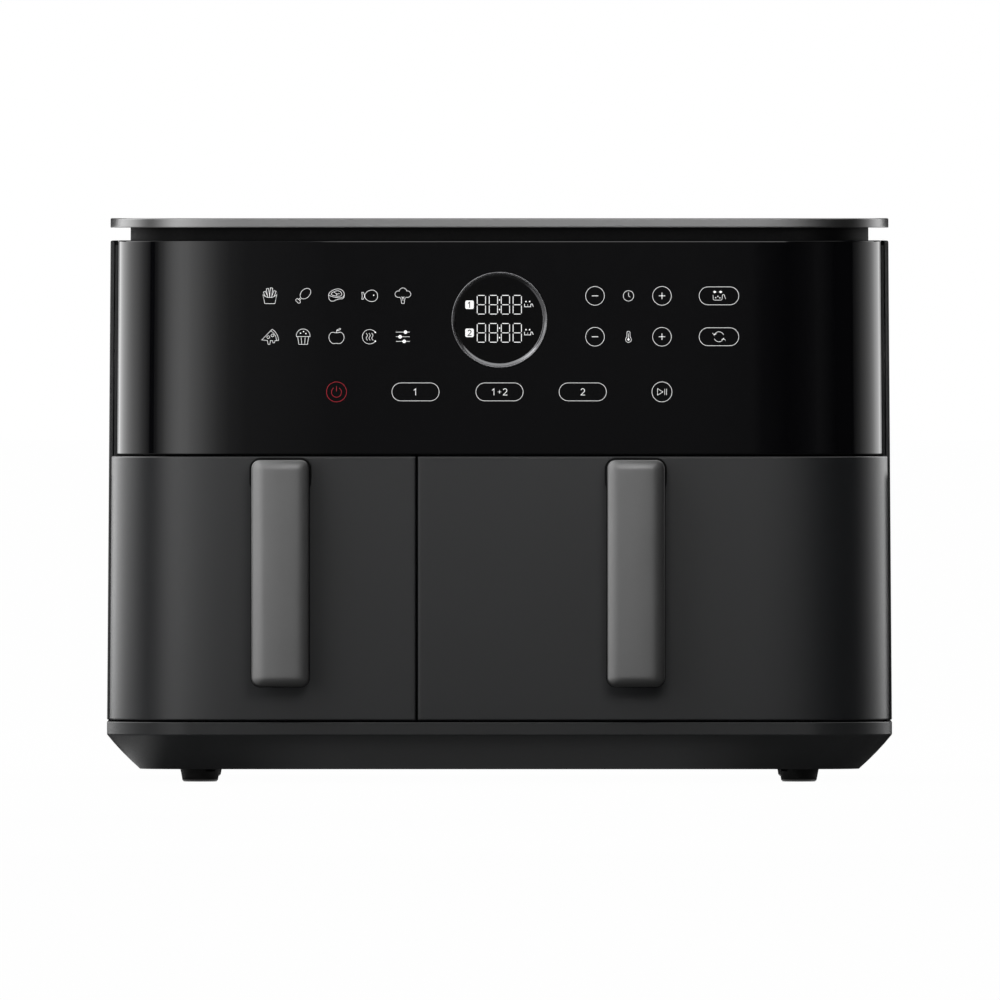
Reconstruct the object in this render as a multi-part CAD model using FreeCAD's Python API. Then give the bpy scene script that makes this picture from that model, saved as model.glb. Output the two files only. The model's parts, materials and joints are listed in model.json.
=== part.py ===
import FreeCAD, Part

import math
import os
from collections import namedtuple

# Two-drawer air fryer, in millimetres.
# +Z is up, the front faces -Y, and the origin is on the table under the middle of the whole part.

V = FreeCAD.Vector

# Body
base_width = 425.0              # across the base band, the widest place
body_depth = 360.0              # front of the base band to the back of the shell
side_draft_deg = 0.42           # lean of each side above the base band
front_corner_radius = 46.0
rear_corner_radius = 40.0
wrap_straight = 6.0             # straight side of the front pieces, behind the rounded corner

# Heights, from the table up
foot_height = 7.0
chamfer_rise = 18.6
band_height = 7.0
base_gap = 0.8                  # shadow gap over the base band
drawer_height = 142.8
drawer_top_gap = 1.0
fascia_height = 115.7
neck_height = 7.0
top_plate_thickness = 5.1

# Steps in from the envelope of the base band and the shell
drawer_inset = 1.5
fascia_inset = 4.0
neck_inset = 10.9

# Base
chamfer_run = 17.9              # how far the slanted edge goes in
chamfer_crown = 0.8             # how far it bulges past a straight slant
chamfer_flats = 4
base_floor = 2.5
base_wall = 3.5
lip_wall = 2.0
lip_height = 4.0
post_radius = 4.0
post_inset = 22.0               # base posts in from the basket's corners
slot_length = 60.0
slot_width = 4.0
slot_pitch = 9.0
slot_count = 5

# Feet
foot_top_radius = 10.8
foot_bottom_radius = 9.6
foot_edge = 0.8
foot_inset_x = 50.4             # foot centres in from the base band
foot_inset_y = 52.0
foot_stem_radius = 4.0
foot_barb_radius = 5.0
foot_barb_height = 2.0

# Shell, deck, neck and top plate
shell_wall = 2.5
deck_thickness = 2.5
deck_opening_margin = 48.0
deck_opening_radius = 12.0
neck_wall = 2.4
neck_slot_length = 14.0
neck_slot_height = 3.2
neck_slot_pitch = 20.0
side_slot_count = 11
rear_slot_count = 15
top_edge = 0.8
top_rib_wall = 2.0
top_rib_height = 1.5
column_radius = 5.0
column_web = 3.0
column_side_inset = 42.5        # rear screw columns in from the base band's side
column_rear_inset = 29.0

# Rear cover
rear_cover_thickness = 2.5
rear_cover_margin = 7.5         # from the rear corner's rounding
rear_cover_lift = 45.0
rear_cover_drop = 20.0
rear_cover_radius = 8.0
rear_lap = 9.0                  # how far the cover laps the shell round its opening
louvre_height = 3.2
louvre_pitch = 6.4
louvre_side = 4.0               # louvres in from the duct's sides
vent_rows = 5
vent_rise = 16.0                # cooling louvres over the duct
gland_flange_radius = 11.0
gland_flange = 3.0
gland_barrel_radius = 8.0
gland_barrel_length = 9.0
gland_bore_radius = 3.9
gland_side_inset = 47.0         # gland centre in from the rear cover's side
gland_rise = 24.0               # gland centre over the rear cover's lower edge

# Front frame
frame_thickness = 3.0
frame_boss_radius = 4.5
frame_boss_x = 92.5             # frame bosses in from the base band's side
frame_boss_height = 30.0
cable_hole_radius = 9.0
cable_hole_drop = 18.0

# Control fascia and display
fascia_wall = 2.5
display_rise = 72.8             # display centre over the fascia's lower edge
ring_radius = 26.1
ring_rim = 0.5
ring_cone_depth = 1.6
lens_radius = 23.6
lens_thickness = 1.6
module_width = 40.0
module_height = 30.0
board_half_width = 138.0
board_rise = 18.0               # touch board over the fascia's lower edge
board_height = 80.0
board_thickness = 1.6
board_margin = 6.0              # screw holes in from a board's edges
board_boss_radius = 3.0
board_boss_length = 4.5

# Power board
power_half_width = 96.0
power_gap_below = 8.0           # over the heater housings
power_gap_above = 6.0           # under the deck
power_standoff = 6.0
relay_width = 18.0
relay_depth = 14.0
relay_height = 22.0
relay_pitch = 26.0
relay_count = 4
capacitor_radius = 7.0
capacitor_length = 22.0
sink_width = 40.0
sink_fin = 2.0
sink_depth = 20.0
sink_fins = 6
part_margin = 10.0              # board parts in from the power board's edges

# Drawers
drawer_split = -44.7            # seam between the two drawer fronts
seam_gap = 0.9
drawer_back_gap = 0.5
cap_wall = 2.5
drawer_slab = 22.0              # front face to the basket
liner_thickness = 1.5
bay_clearance = 1.0

# Handles
finger_gap = 24.0
spine_thickness = 4.5
cover_thickness = 10.0
cover_width = 31.0
cover_height = 122.3
cover_corner_radius = 4.6
cover_edge = 4.0                # rounding of the cover's front edges
core_lip = 0.5                  # how far the core shows round the cover
collar_width = 33.4
collar_height = 19.1
collar_radius = 6.0
collar_drop = 0.6               # collar under the drawer front's upper edge
cover_drop = 1.1                # cover under the collar's upper edge
handle_screw_spread = 18.0

# Baskets
basket_depth = 272.0
basket_height = 123.0
basket_wall = 1.2
basket_corner_radius = 20.0
basket_bottom_radius = 10.0
rim_width = 4.0
basket_floor_gap = 2.3
runner_gap = 0.3
runner_height = 6.0
runner_wall_gap = 1.2           # runner to the basket's wall
runner_end_gap = 10.0

# Crisper plates
plate_clearance = 2.0
plate_thickness = 2.5
plate_rise = 12.0               # plate's underside over the basket's floor
plate_foot_radius = 4.5
plate_foot_inset = 24.0
plate_foot_gap = 0.2
hole_length = 15.0
hole_width = 5.0
hole_pitch_x = 12.0
hole_pitch_y = 22.0
hole_margin = 10.0              # holes in from the plate's edge
bumper_length = 16.0
bumper_width = 4.0              # how far a bumper laps the plate
bumper_skirt = 2.5              # under the plate
bumper_cap = 1.2                # over the plate
bumper_wall_gap = 0.3
bumper_end_inset = 60.0

# Cooking chambers
chamber_clearance = 2.2
chamber_sheet = 0.8
chamber_lift = 2.0              # over the shell's lower edge
side_air_gap = 20.0
divider_gap = 3.8
basket_head_gap = 5.5

# Heater, fans and motors
heater_height = 40.0
guard_rise = 1.0
guard_thickness = 1.2
guard_slot_length = 18.0
guard_slot_width = 6.0
guard_pitch_x = 11.0
guard_pitch_y = 24.0
guard_margin = 9.0
element_radius = 3.3
element_bend = 9.0
element_straight = 4.0          # straight run in the return bend
element_rise = 13.0
element_margin_x = 14.0
element_margin_y = 30.0
element_leg = 15.0              # legs over the heater housing
left_fan_radius = 52.0
right_fan_radius = 78.0
fan_rise = 22.0
fan_height = 12.0
fan_sheet = 1.2
fan_hub_radius = 9.0
fan_blade_overhang = 7.0
fan_blades = 10
cooling_fan_radius = 36.0
cooling_fan_rise = 4.0
cooling_fan_height = 10.0
shaft_radius = 3.0
shaft_hole_radius = 7.0
nut_height = 6.0
nut_radius = 6.0
bracket_rise = 18.0
bracket_half = 36.0
bracket_sheet = 1.5
bracket_corner = 5.0
bracket_leg_radius = 3.5
bracket_leg_spread = 30.0
motor_flange = 2.5
motor_radius = 27.0
motor_height = 32.0
motor_cap_radius = 16.0
motor_cap_height = 5.0
shaft_end_gap = 3.0             # shaft end under the motor's top
duct_width = 60.0
duct_side_gap = 6.0             # duct in from the rear opening's side
duct_margin = 5.0               # duct in from the heater housing's upper and lower edges
duct_sheet = 0.8
probe_radius = 2.5
probe_length = 34.0
probe_flange_radius = 6.0
probe_flange = 2.0
probe_margin = 4.0

# Drawer switches
plunger_radius = 2.0
plunger_tail = 8.0              # plunger behind the frame
switch_width = 10.0
switch_depth = 13.0
switch_height = 22.0
switch_rise = 110.0             # plunger over the drawer fronts' lower edge

# Screws
shank_radius = 1.5
head_radius = 3.0
head_height = 2.0
drive_radius = 1.3
drive_depth = 1.0
short_screw = 8.0
long_screw = 12.0

# Fits
fit_gap = 0.25                  # between moulded pieces
slip_gap = 0.3                  # round pieces that pass through a hole
running_gap = 0.05              # shaft in its bearing
press_gap = 0.02                # pieces pressed on a shaft
screw_gap = 0.05
well_clearance = 0.5            # round and under a screw head that is sunk into the base
well_radius = 6.0
plunger_gap = 0.1

# Heights worked out from the stack
z_chamfer_top = foot_height + chamfer_rise
z_band_top = z_chamfer_top + band_height
z_body0 = z_band_top + base_gap
z_drawer_top = z_body0 + drawer_height
z_fascia0 = z_drawer_top + drawer_top_gap
z_body1 = z_fascia0 + fascia_height
z_deck0 = z_body1 - deck_thickness
z_neck1 = z_body1 + neck_height
z_top = z_neck1 + top_plate_thickness
z_floor = foot_height + base_floor
z_screw_seat = foot_height + head_height + well_clearance
z_well_top = z_screw_seat + base_floor
z_display = z_fascia0 + display_rise

# Depths worked out from the stack, with the part centred
handle_reach = finger_gap + spine_thickness + cover_thickness
overall_depth = handle_reach - drawer_inset + body_depth + rear_cover_thickness + gland_flange
y_face = -overall_depth / 2 + handle_reach
y_env0 = y_face - drawer_inset
y_env1 = y_env0 + body_depth
y_wrap = y_env0 + front_corner_radius + wrap_straight
y_frame_back = y_wrap + frame_thickness
y_cap_back = y_wrap - drawer_back_gap
y_basket0 = y_face + drawer_slab
y_basket1 = y_basket0 + basket_depth
y_chamber1 = y_basket1 + chamber_clearance
y_fan = (y_frame_back + y_chamber1) / 2
y_fascia = y_env0 + fascia_inset
y_board = y_fascia + fascia_wall + board_boss_length
y_power = y_frame_back + power_standoff

# Cooking zone heights
z_chamber0 = z_body0 + chamber_lift
z_basket0 = z_chamber0 + chamber_sheet + basket_floor_gap
z_basket1 = z_basket0 + basket_height
z_plate0 = z_basket0 + basket_wall + plate_rise
z_plate1 = z_plate0 + plate_thickness
z_chamber1 = z_basket1 + basket_head_gap
z_heater1 = z_chamber1 + heater_height
z_element = z_chamber1 + element_rise
z_fan0 = z_chamber1 + fan_rise
z_fan1 = z_fan0 + fan_height
z_bracket = z_heater1 + bracket_rise
z_motor0 = z_bracket + bracket_sheet
z_motor1 = z_motor0 + motor_flange + motor_height
z_shaft0 = z_fan0 - nut_height
z_shaft1 = z_motor1 + motor_cap_height - shaft_end_gap
z_power0 = z_heater1 + power_gap_below
z_power1 = z_deck0 - power_gap_above
z_board0 = z_fascia0 + board_rise
z_board1 = z_board0 + board_height
z_rear0 = z_body0 + rear_cover_lift
z_rear1 = z_body1 - rear_cover_drop
z_gland = z_rear0 + gland_rise
z_duct0 = z_chamber1 + duct_margin
z_duct1 = z_heater1 - duct_margin
z_switch = z_body0 + switch_rise

# Places worked out across the width
side_margin = shell_wall + side_air_gap + chamber_sheet + chamber_clearance
divider_margin = divider_gap / 2 + chamber_sheet + chamber_clearance
column_x = base_width / 2 - column_side_inset
column_y = y_env1 - column_rear_inset
frame_boss = base_width / 2 - frame_boss_x
rear_half = base_width / 2 - rear_corner_radius - rear_cover_margin
rear_opening_half = rear_half - rear_lap
gland_x = rear_half - gland_side_inset
element_pitch = 2 * element_bend + element_straight
reach = 2 * (base_width + overall_depth + z_top)    # past every piece, for trimming

# A zone is one cooking side: side is -1 on the left and +1 on the right,
# and x_outer and x_inner are the basket rim's edges beside the shell and beside the other zone.
Zone = namedtuple("Zone", "name side x_outer x_inner fan_radius")
zones = [
    Zone("left", -1, side_margin - base_width / 2, drawer_split - divider_margin, left_fan_radius),
    Zone("right", 1, base_width / 2 - side_margin, drawer_split + divider_margin, right_fan_radius),
]


def box(x0, x1, y0, y1, z0, z1):
    """Box between two corners, whose x may come in either order."""
    low = min(x0, x1)
    return Part.makeBox(abs(x1 - x0), y1 - y0, z1 - z0, V(low, y0, z0))


def rod(radius, start, end):
    """Round bar between two points."""
    return Part.makeCylinder(radius, (end - start).Length, start, end - start)


def rounded_edges(u0, u1, v0, v1, radii, place):
    """Edges of a rectangle with rounded corners, each point put in space by place(u, v)."""
    corners = [(u0, v0), (u1, v0), (u1, v1), (u0, v1)]
    ways = [(1, 0), (0, 1), (-1, 0), (0, -1)]
    edges = []
    for i in range(4):
        pu, pv = corners[i]
        qu, qv = corners[(i + 1) % 4]
        du, dv = ways[i]
        eu, ev = ways[(i + 1) % 4]
        r = radii[i]
        s = radii[(i + 1) % 4]
        k = s * (1 - math.sqrt(0.5))
        start = place(pu + du * r, pv + dv * r)
        end = place(qu - du * s, qv - dv * s)
        middle = place(qu + (eu - du) * k, qv + (ev - dv) * k)
        edges.append(Part.LineSegment(start, end).toShape())
        edges.append(Part.Arc(end, middle, place(qu + eu * s, qv + ev * s)).toShape())
    return edges


def slab(x0, x1, y0, y1, z0, z1, radius):
    """Rounded rectangle in plan, raised from z0 to z1."""
    low, high = sorted((x0, x1))
    edges = rounded_edges(low, high, y0, y1, [radius] * 4, lambda u, v: V(u, v, z0))
    return Part.Face(Part.Wire(edges)).extrude(V(0, 0, z1 - z0))


def panel(x0, x1, z0, z1, y0, y1, radius):
    """Rounded rectangle seen from the front, thick from y0 to y1."""
    edges = rounded_edges(x0, x1, z0, z1, [radius] * 4, lambda u, v: V(u, y0, v))
    return Part.Face(Part.Wire(edges)).extrude(V(0, y1 - y0, 0))


def half_width(z):
    """Half the envelope's width at a height."""
    return base_width / 2 - max(0.0, z - z_band_top) * math.tan(math.radians(side_draft_deg))


def plan_edges(z, inset):
    """The envelope's rounded outline at a height, drawn in by inset."""
    half = half_width(z) - inset
    front = front_corner_radius - inset
    rear = rear_corner_radius - inset
    radii = [front, front, rear, rear]
    return rounded_edges(-half, half, y_env0 + inset, y_env1 - inset, radii, lambda u, v: V(u, v, z))


def skin(levels):
    """Solid through outlines at (height, inset) levels, with flat sides and ruled corners."""
    sections = [plan_edges(z, inset) for z, inset in levels]
    faces = [Part.Face(Part.Wire(sections[0])), Part.Face(Part.Wire(sections[-1]))]
    for lower, upper in zip(sections, sections[1:]):
        for number, (a, b) in enumerate(zip(lower, upper)):
            if number % 2:
                faces.append(Part.makeRuledSurface(a, b))
            else:
                corners = [a.firstVertex().Point, a.lastVertex().Point]
                corners += [b.lastVertex().Point, b.firstVertex().Point]
                faces.append(Part.Face(Part.makePolygon(corners + corners[:1])))
    shell = Part.makeShell(faces)
    shell.sewShape()
    solid = Part.makeSolid(shell)
    if solid.Volume < 0:
        solid.reverse()
    return solid


def envelope(inset, z0, z1):
    """Upright piece of the envelope between two heights."""
    return skin([(z0, inset), (z1, inset)])


def keep(shape, x0=-reach, x1=reach, y0=-reach, y1=reach):
    """The part of a shape inside a tall box."""
    return shape.common(box(x0, x1, y0, y1, -reach, reach))


def join(shape, others):
    """One solid from a shape and the pieces moulded onto it."""
    return shape.fuse(others).removeSplitter()


def drill(shape, cutters):
    """A shape with every cutter taken out."""
    for cutter in cutters:
        shape = shape.cut(cutter)
    return shape


def screw(seat, way, length):
    """Pan-head screw: seat is the middle of the head's underside and way points along the shank."""
    head = rod(head_radius, seat - way * head_height, seat)
    drive = rod(drive_radius, seat - way * head_height, seat - way * (head_height - drive_depth))
    return head.cut(drive).fuse(rod(shank_radius, seat, seat + way * length))


def pilot(seat, way, length):
    """Hole for that screw's shank."""
    return rod(shank_radius + screw_gap, seat - way * head_height, seat + way * (length + screw_gap))


def middle_x(zone):
    """Middle of a zone's basket."""
    return (zone.x_outer + zone.x_inner) / 2


def chamber_x(zone, growth=0.0):
    """Lower and upper x of a chamber's inside, grown outward."""
    low, high = sorted((zone.x_outer, zone.x_inner))
    return low - chamber_clearance - growth, high + chamber_clearance + growth


def mirror_pair(x):
    """A place and its mirror image across the middle."""
    return [-x, x]


# Screw places shared by the pieces that they hold together: seat, way and length

base_screw_places = [
    (V(x, y, z_screw_seat), V(0, 0, 1), long_screw)
    for x, y in [(-frame_boss, y_wrap + frame_thickness / 2), (frame_boss, y_wrap + frame_thickness / 2),
                 (-column_x, column_y), (column_x, column_y)]
]
deck_screw_places = [
    (V(x, y, z_body1), V(0, 0, -1), long_screw)
    for x, y in [(-frame_boss, y_frame_back), (frame_boss, y_frame_back),
                 (-column_x, column_y), (column_x, column_y)]
]
rear_screw_places = [
    (V(x, y_env1 + rear_cover_thickness, z), V(0, -1, 0), short_screw)
    for x in mirror_pair(rear_half - rear_lap / 2)
    for z in (z_rear0 + rear_cover_radius, (z_rear0 + z_rear1) / 2, z_rear1 - rear_cover_radius)
]
touch_screw_places = [
    (V(x, y_board + board_thickness, z), V(0, -1, 0), board_thickness + board_boss_length - fit_gap)
    for x in mirror_pair(board_half_width - board_margin)
    for z in (z_board0 + board_margin, z_board1 - board_margin)
]
power_screw_places = [
    (V(x, y_power + board_thickness, z), V(0, -1, 0), board_thickness + power_standoff)
    for x in mirror_pair(power_half_width - board_margin)
    for z in (z_power0 + board_margin, z_power1 - board_margin)
]


def motor_screw_places(zone):
    """Screws through a motor's flange and its bracket into the bracket's legs."""
    corners = [(a, b) for a in mirror_pair(bracket_leg_spread) for b in mirror_pair(bracket_leg_spread)]
    top = z_motor0 + motor_flange
    return [(V(middle_x(zone) + a, y_fan + b, top), V(0, 0, -1), long_screw) for a, b in corners]


def handle_screw_places(zone):
    """Screws from inside a drawer front into its handle's collar."""
    z = z_drawer_top - collar_drop - collar_height / 2
    return [(V(middle_x(zone) + a, y_face + cap_wall, z), V(0, -1, 0), long_screw)
            for a in mirror_pair(handle_screw_spread / 2)]


def screws(places):
    """Screws as a group of separate solids."""
    return Part.makeCompound([screw(*place) for place in places])


def pilots(places):
    """Holes for a group of screws."""
    return [pilot(*place) for place in places]


# Base and feet

def chamfer_inset(z):
    """How far the crowned, slanted edge stands inside the band at a height."""
    t = (z - foot_height) / chamfer_rise
    return chamfer_run * (1 - t) - 4 * chamfer_crown * t * (1 - t)


def foot_places():
    """Foot centres on the table."""
    x = base_width / 2 - foot_inset_x
    return [V(a, b, 0) for a in mirror_pair(x) for b in (y_env0 + foot_inset_y, y_env1 - foot_inset_y)]


def base_slots():
    """Air slots in the base floor, in a row under each chamber."""
    slots = []
    for zone in zones:
        for number in range(slot_count):
            x = middle_x(zone) + (number - (slot_count - 1) / 2) * slot_pitch
            ends = (y_fan - slot_length / 2, y_fan + slot_length / 2)
            sides = (x - slot_width / 2, x + slot_width / 2)
            slots.append(box(*sides, *ends, foot_height - base_floor, z_floor + base_floor))
    return slots


def base_tray():
    """Tray with a crowned, slanted edge, a band, posts, sunk screw wells and a lip inside the shell."""
    heights = [foot_height + chamfer_rise * i / chamfer_flats for i in range(chamfer_flats + 1)]
    outside = skin([(z, chamfer_inset(z)) for z in heights] + [(z_band_top, 0.0)])
    inner = [z_floor] + [z for z in heights if z > z_floor + fit_gap]
    levels = [(z, chamfer_inset(z) + base_wall) for z in inner]
    inside = skin(levels + [(z_band_top + base_gap, base_wall)])
    lip_inset = shell_wall + fit_gap
    seat = envelope(base_wall / 2, z_band_top - lip_height, z_band_top)
    seat = seat.cut(envelope(lip_inset + lip_wall, z_band_top - lip_height, z_band_top))
    lip = envelope(lip_inset, z_band_top - lip_height, z_band_top + lip_height)
    lip = lip.cut(envelope(lip_inset + lip_wall, z_band_top - lip_height, z_band_top + lip_height))
    lip = keep(lip.fuse(seat), y0=y_frame_back + lip_wall)
    posts = []
    for zone in zones:
        low, high = sorted((zone.x_outer, zone.x_inner))
        for x in (low + post_inset, high - post_inset):
            for y in (y_frame_back + post_inset, y_chamber1 - post_inset):
                posts.append(rod(post_radius, V(x, y, foot_height), V(x, y, z_chamber0)))
    sockets = [rod(foot_stem_radius, place, place + V(0, 0, z_floor + base_floor)) for place in foot_places()]
    wells = []
    pads = []
    for seat, way, length in base_screw_places:
        wells.append(rod(head_radius + well_clearance, seat - way * z_screw_seat, seat))
        pads.append(rod(well_radius, V(seat.x, seat.y, foot_height), V(seat.x, seat.y, z_well_top)))
    tray = join(outside.cut(inside), [lip] + posts + pads)
    return drill(tray, sockets + base_slots() + wells + pilots(base_screw_places))


def rubber_feet():
    """Four tapered feet, each with a stem through the base floor and a barb over it."""
    feet = []
    for place in foot_places():
        profile = [
            (0, 0), (foot_bottom_radius - foot_edge, 0), (foot_bottom_radius, foot_edge),
            (foot_top_radius, foot_height), (foot_stem_radius - press_gap, foot_height),
            (foot_stem_radius - press_gap, z_floor), (foot_barb_radius, z_floor),
            (foot_stem_radius - press_gap, z_floor + foot_barb_height), (0, z_floor + foot_barb_height),
        ]
        points = [place + V(r, 0, z) for r, z in profile]
        face = Part.Face(Part.makePolygon(points + points[:1]))
        feet.append(face.revolve(place, V(0, 0, 1), 360))
    return Part.makeCompound(feet)


# Shell, rear cover and gland

def outer_shell():
    """Sides and back in one wall, with two screw columns and an opening at the back."""
    wall = envelope(0, z_body0, z_body1).cut(envelope(shell_wall, z_body0, z_body1))
    wall = keep(wall, y0=y_wrap)
    columns = []
    for x in mirror_pair(column_x):
        columns.append(rod(column_radius, V(x, column_y, z_well_top), V(x, column_y, z_deck0)))
        sides = (x - column_web / 2, x + column_web / 2)
        web = box(*sides, column_y, y_env1 - shell_wall / 2, z_body0 + lip_height + lip_wall, z_deck0)
        columns.append(web)
    low = z_rear0 + rear_lap
    high = z_rear1 - rear_lap
    opening = panel(-rear_opening_half, rear_opening_half, low, high,
                    y_env1 - 2 * shell_wall, y_env1 + shell_wall, rear_cover_radius)
    shell = join(wall, columns).cut(opening)
    return drill(shell, pilots(base_screw_places + deck_screw_places + rear_screw_places))


def duct_x(zone):
    """Outer and inner x of a zone's exhaust duct."""
    outer = zone.side * (rear_opening_half - duct_side_gap)
    return outer, outer - zone.side * duct_width


def louvres():
    """Slots through the rear cover, over each duct's mouth and for the cooling air above it."""
    slots = []
    for zone in zones:
        outer, inner = duct_x(zone)
        x0, x1 = sorted((outer - zone.side * louvre_side, inner + zone.side * louvre_side))
        mouth_rows = int((z_duct1 - z_duct0 - 2 * duct_sheet) // louvre_pitch)
        first = (z_duct0 + z_duct1) / 2 - (mouth_rows - 1) * louvre_pitch / 2
        rows = [first + i * louvre_pitch for i in range(mouth_rows)]
        rows += [z_duct1 + vent_rise + i * louvre_pitch for i in range(vent_rows)]
        for z in rows:
            slots.append(panel(x0, x1, z - louvre_height / 2, z + louvre_height / 2, y_env1 - fit_gap,
                               y_env1 + 2 * rear_cover_thickness, louvre_height / 2 - fit_gap))
    return slots


def rear_cover():
    """Screwed-on cover over the shell's rear opening, with louvres and the gland's hole."""
    cover = panel(-rear_half, rear_half, z_rear0, z_rear1, y_env1, y_env1 + rear_cover_thickness,
                  rear_cover_radius)
    middle = V(gland_x, y_env1 - rear_cover_thickness, z_gland)
    hole = rod(gland_barrel_radius + press_gap, middle, middle + V(0, 3 * rear_cover_thickness, 0))
    return drill(cover, louvres() + [hole] + pilots(rear_screw_places))


def cord_gland():
    """Flanged bush for the mains lead."""
    face = V(gland_x, y_env1 + rear_cover_thickness, z_gland)
    out = V(0, 1, 0)
    flange = rod(gland_flange_radius, face, face + out * gland_flange)
    barrel = rod(gland_barrel_radius, face - out * gland_barrel_length, face + out * gland_flange)
    bore = rod(gland_bore_radius, face - out * 2 * gland_barrel_length, face + out * 2 * gland_flange)
    return join(flange, [barrel]).cut(bore)


# Front frame

def plunger_place(zone):
    """Middle of a switch plunger on the frame's front plane."""
    wing_outer = half_width(z_switch) - drawer_inset - cap_wall
    wing_inner = abs(zone.x_outer) + bay_clearance + liner_thickness
    return V(zone.side * (wing_outer + wing_inner) / 2, y_wrap, z_switch)


def front_frame():
    """Bulkhead with the two drawer openings, screw bosses and standoffs for the power board."""
    frame = keep(envelope(shell_wall + fit_gap, z_body0, z_deck0), y0=y_wrap, y1=y_frame_back)
    cuts = []
    for zone in zones:
        cuts.append(box(*chamber_x(zone), y_wrap - frame_thickness, y_frame_back + frame_thickness,
                        z_chamber0 + chamber_sheet, z_chamber1))
        place = plunger_place(zone)
        reach_y = V(0, 2 * frame_thickness, 0)
        cuts.append(rod(plunger_radius + slip_gap, place - reach_y, place + reach_y))
    cable = V(0, y_wrap - frame_thickness, z_power0 - cable_hole_drop)
    cuts.append(rod(cable_hole_radius, cable, cable + V(0, 3 * frame_thickness, 0)))
    frame = drill(frame, cuts)
    bosses = []
    for x in mirror_pair(frame_boss):
        low = V(x, y_wrap + frame_thickness / 2, z_well_top)
        bosses.append(rod(frame_boss_radius, low, V(low.x, low.y, z_body0 + chamber_lift / 2)))
        high = V(x, y_frame_back, z_deck0)
        bosses.append(rod(frame_boss_radius, high - V(0, 0, frame_boss_height), high))
    for seat, way, length in power_screw_places:
        bosses.append(rod(board_boss_radius, V(seat.x, y_wrap + frame_thickness / 2, seat.z),
                          V(seat.x, y_power, seat.z)))
    frame = keep(join(frame, bosses), y0=y_wrap - frame_boss_radius)
    return drill(frame, pilots(base_screw_places + deck_screw_places + power_screw_places))


# Control fascia, display and boards

def control_fascia():
    """Glossy panel round the front of the upper half, with a floor and bosses for the touch board."""
    outside = envelope(fascia_inset, z_fascia0, z_body1)
    inside = envelope(fascia_inset + fascia_wall, z_fascia0 + fascia_wall, z_body1 + fascia_wall)
    fascia = keep(outside.cut(inside), y1=y_wrap)
    bosses = []
    for seat, way, length in touch_screw_places:
        bosses.append(rod(board_boss_radius, V(seat.x, y_fascia + fascia_wall / 2, seat.z),
                          V(seat.x, y_board, seat.z)))
    window = V(0, y_fascia - fascia_wall, z_display)
    hole = rod(ring_radius + fit_gap, window, window + V(0, 3 * fascia_wall, 0))
    return drill(join(fascia, bosses), [hole] + pilots(touch_screw_places))


def display_ring():
    """Bezel whose face slopes in to the sunk lens."""
    face = V(0, y_fascia, z_display)
    back = V(0, 1, 0)
    ring_depth = ring_cone_depth + lens_thickness
    ring = rod(ring_radius, face, face + back * ring_depth)
    cone = Part.makeCone(ring_radius - ring_rim, lens_radius, ring_cone_depth, face, back)
    bore = rod(lens_radius, face, face + back * 2 * ring_depth)
    return ring.cut(cone).cut(bore)


def display_lens():
    """Dark round window at the foot of the bezel's slope."""
    face = V(0, y_fascia + ring_cone_depth, z_display)
    return rod(lens_radius - press_gap, face, face + V(0, lens_thickness, 0))


def display_module():
    """Block of lit digits between the lens and the touch board."""
    front = y_fascia + ring_cone_depth + lens_thickness
    return box(-module_width / 2, module_width / 2, front, y_board,
               z_display - module_height / 2, z_display + module_height / 2)


def touch_board():
    """Circuit board behind the fascia."""
    board = box(-board_half_width, board_half_width, y_board, y_board + board_thickness, z_board0, z_board1)
    return drill(board, pilots(touch_screw_places))


def power_board():
    """Circuit board behind the frame, with relays, capacitors and a finned heat sink."""
    board = box(-power_half_width, power_half_width, y_power, y_power + board_thickness, z_power0, z_power1)
    y = y_power + board_thickness / 2
    parts = []
    for number in range(relay_count):
        x = (number - (relay_count - 1) / 2) * relay_pitch
        parts.append(box(x - relay_width / 2, x + relay_width / 2, y, y + relay_depth,
                         z_power0 + part_margin, z_power0 + part_margin + relay_height))
        foot = V(x, y, z_power1 - part_margin - capacitor_radius)
        parts.append(rod(capacitor_radius, foot, foot + V(0, capacitor_length, 0)))
    sink_x = power_half_width - board_margin - part_margin
    low = z_power0 + part_margin
    high = z_power1 - part_margin
    parts.append(box(sink_x - sink_width, sink_x, y, y + board_thickness + sink_fin, low, high))
    step = (sink_width - sink_fin) / (sink_fins - 1)
    for number in range(sink_fins):
        x = sink_x - sink_width + number * step
        parts.append(box(x, x + sink_fin, y, y + sink_depth, low, high))
    return drill(join(board, parts), pilots(power_screw_places))


# Deck and top plate

def neck_slots():
    """Air slots through the neck's sides and back."""
    z0 = (z_body1 + z_neck1 - neck_slot_height) / 2
    z1 = z0 + neck_slot_height
    slots = []
    y_middle = (y_wrap + y_env1 - rear_corner_radius) / 2
    outer = half_width(z_body1) - neck_inset
    for number in range(side_slot_count):
        y = y_middle + (number - (side_slot_count - 1) / 2) * neck_slot_pitch
        for side in (-1, 1):
            slots.append(box(side * (outer - 2 * neck_wall), side * (outer + neck_wall),
                             y - neck_slot_length / 2, y + neck_slot_length / 2, z0, z1))
    back = y_env1 - neck_inset
    for number in range(rear_slot_count):
        x = (number - (rear_slot_count - 1) / 2) * neck_slot_pitch
        slots.append(box(x - neck_slot_length / 2, x + neck_slot_length / 2,
                         back - 2 * neck_wall, back + neck_wall, z0, z1))
    return slots


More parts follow.
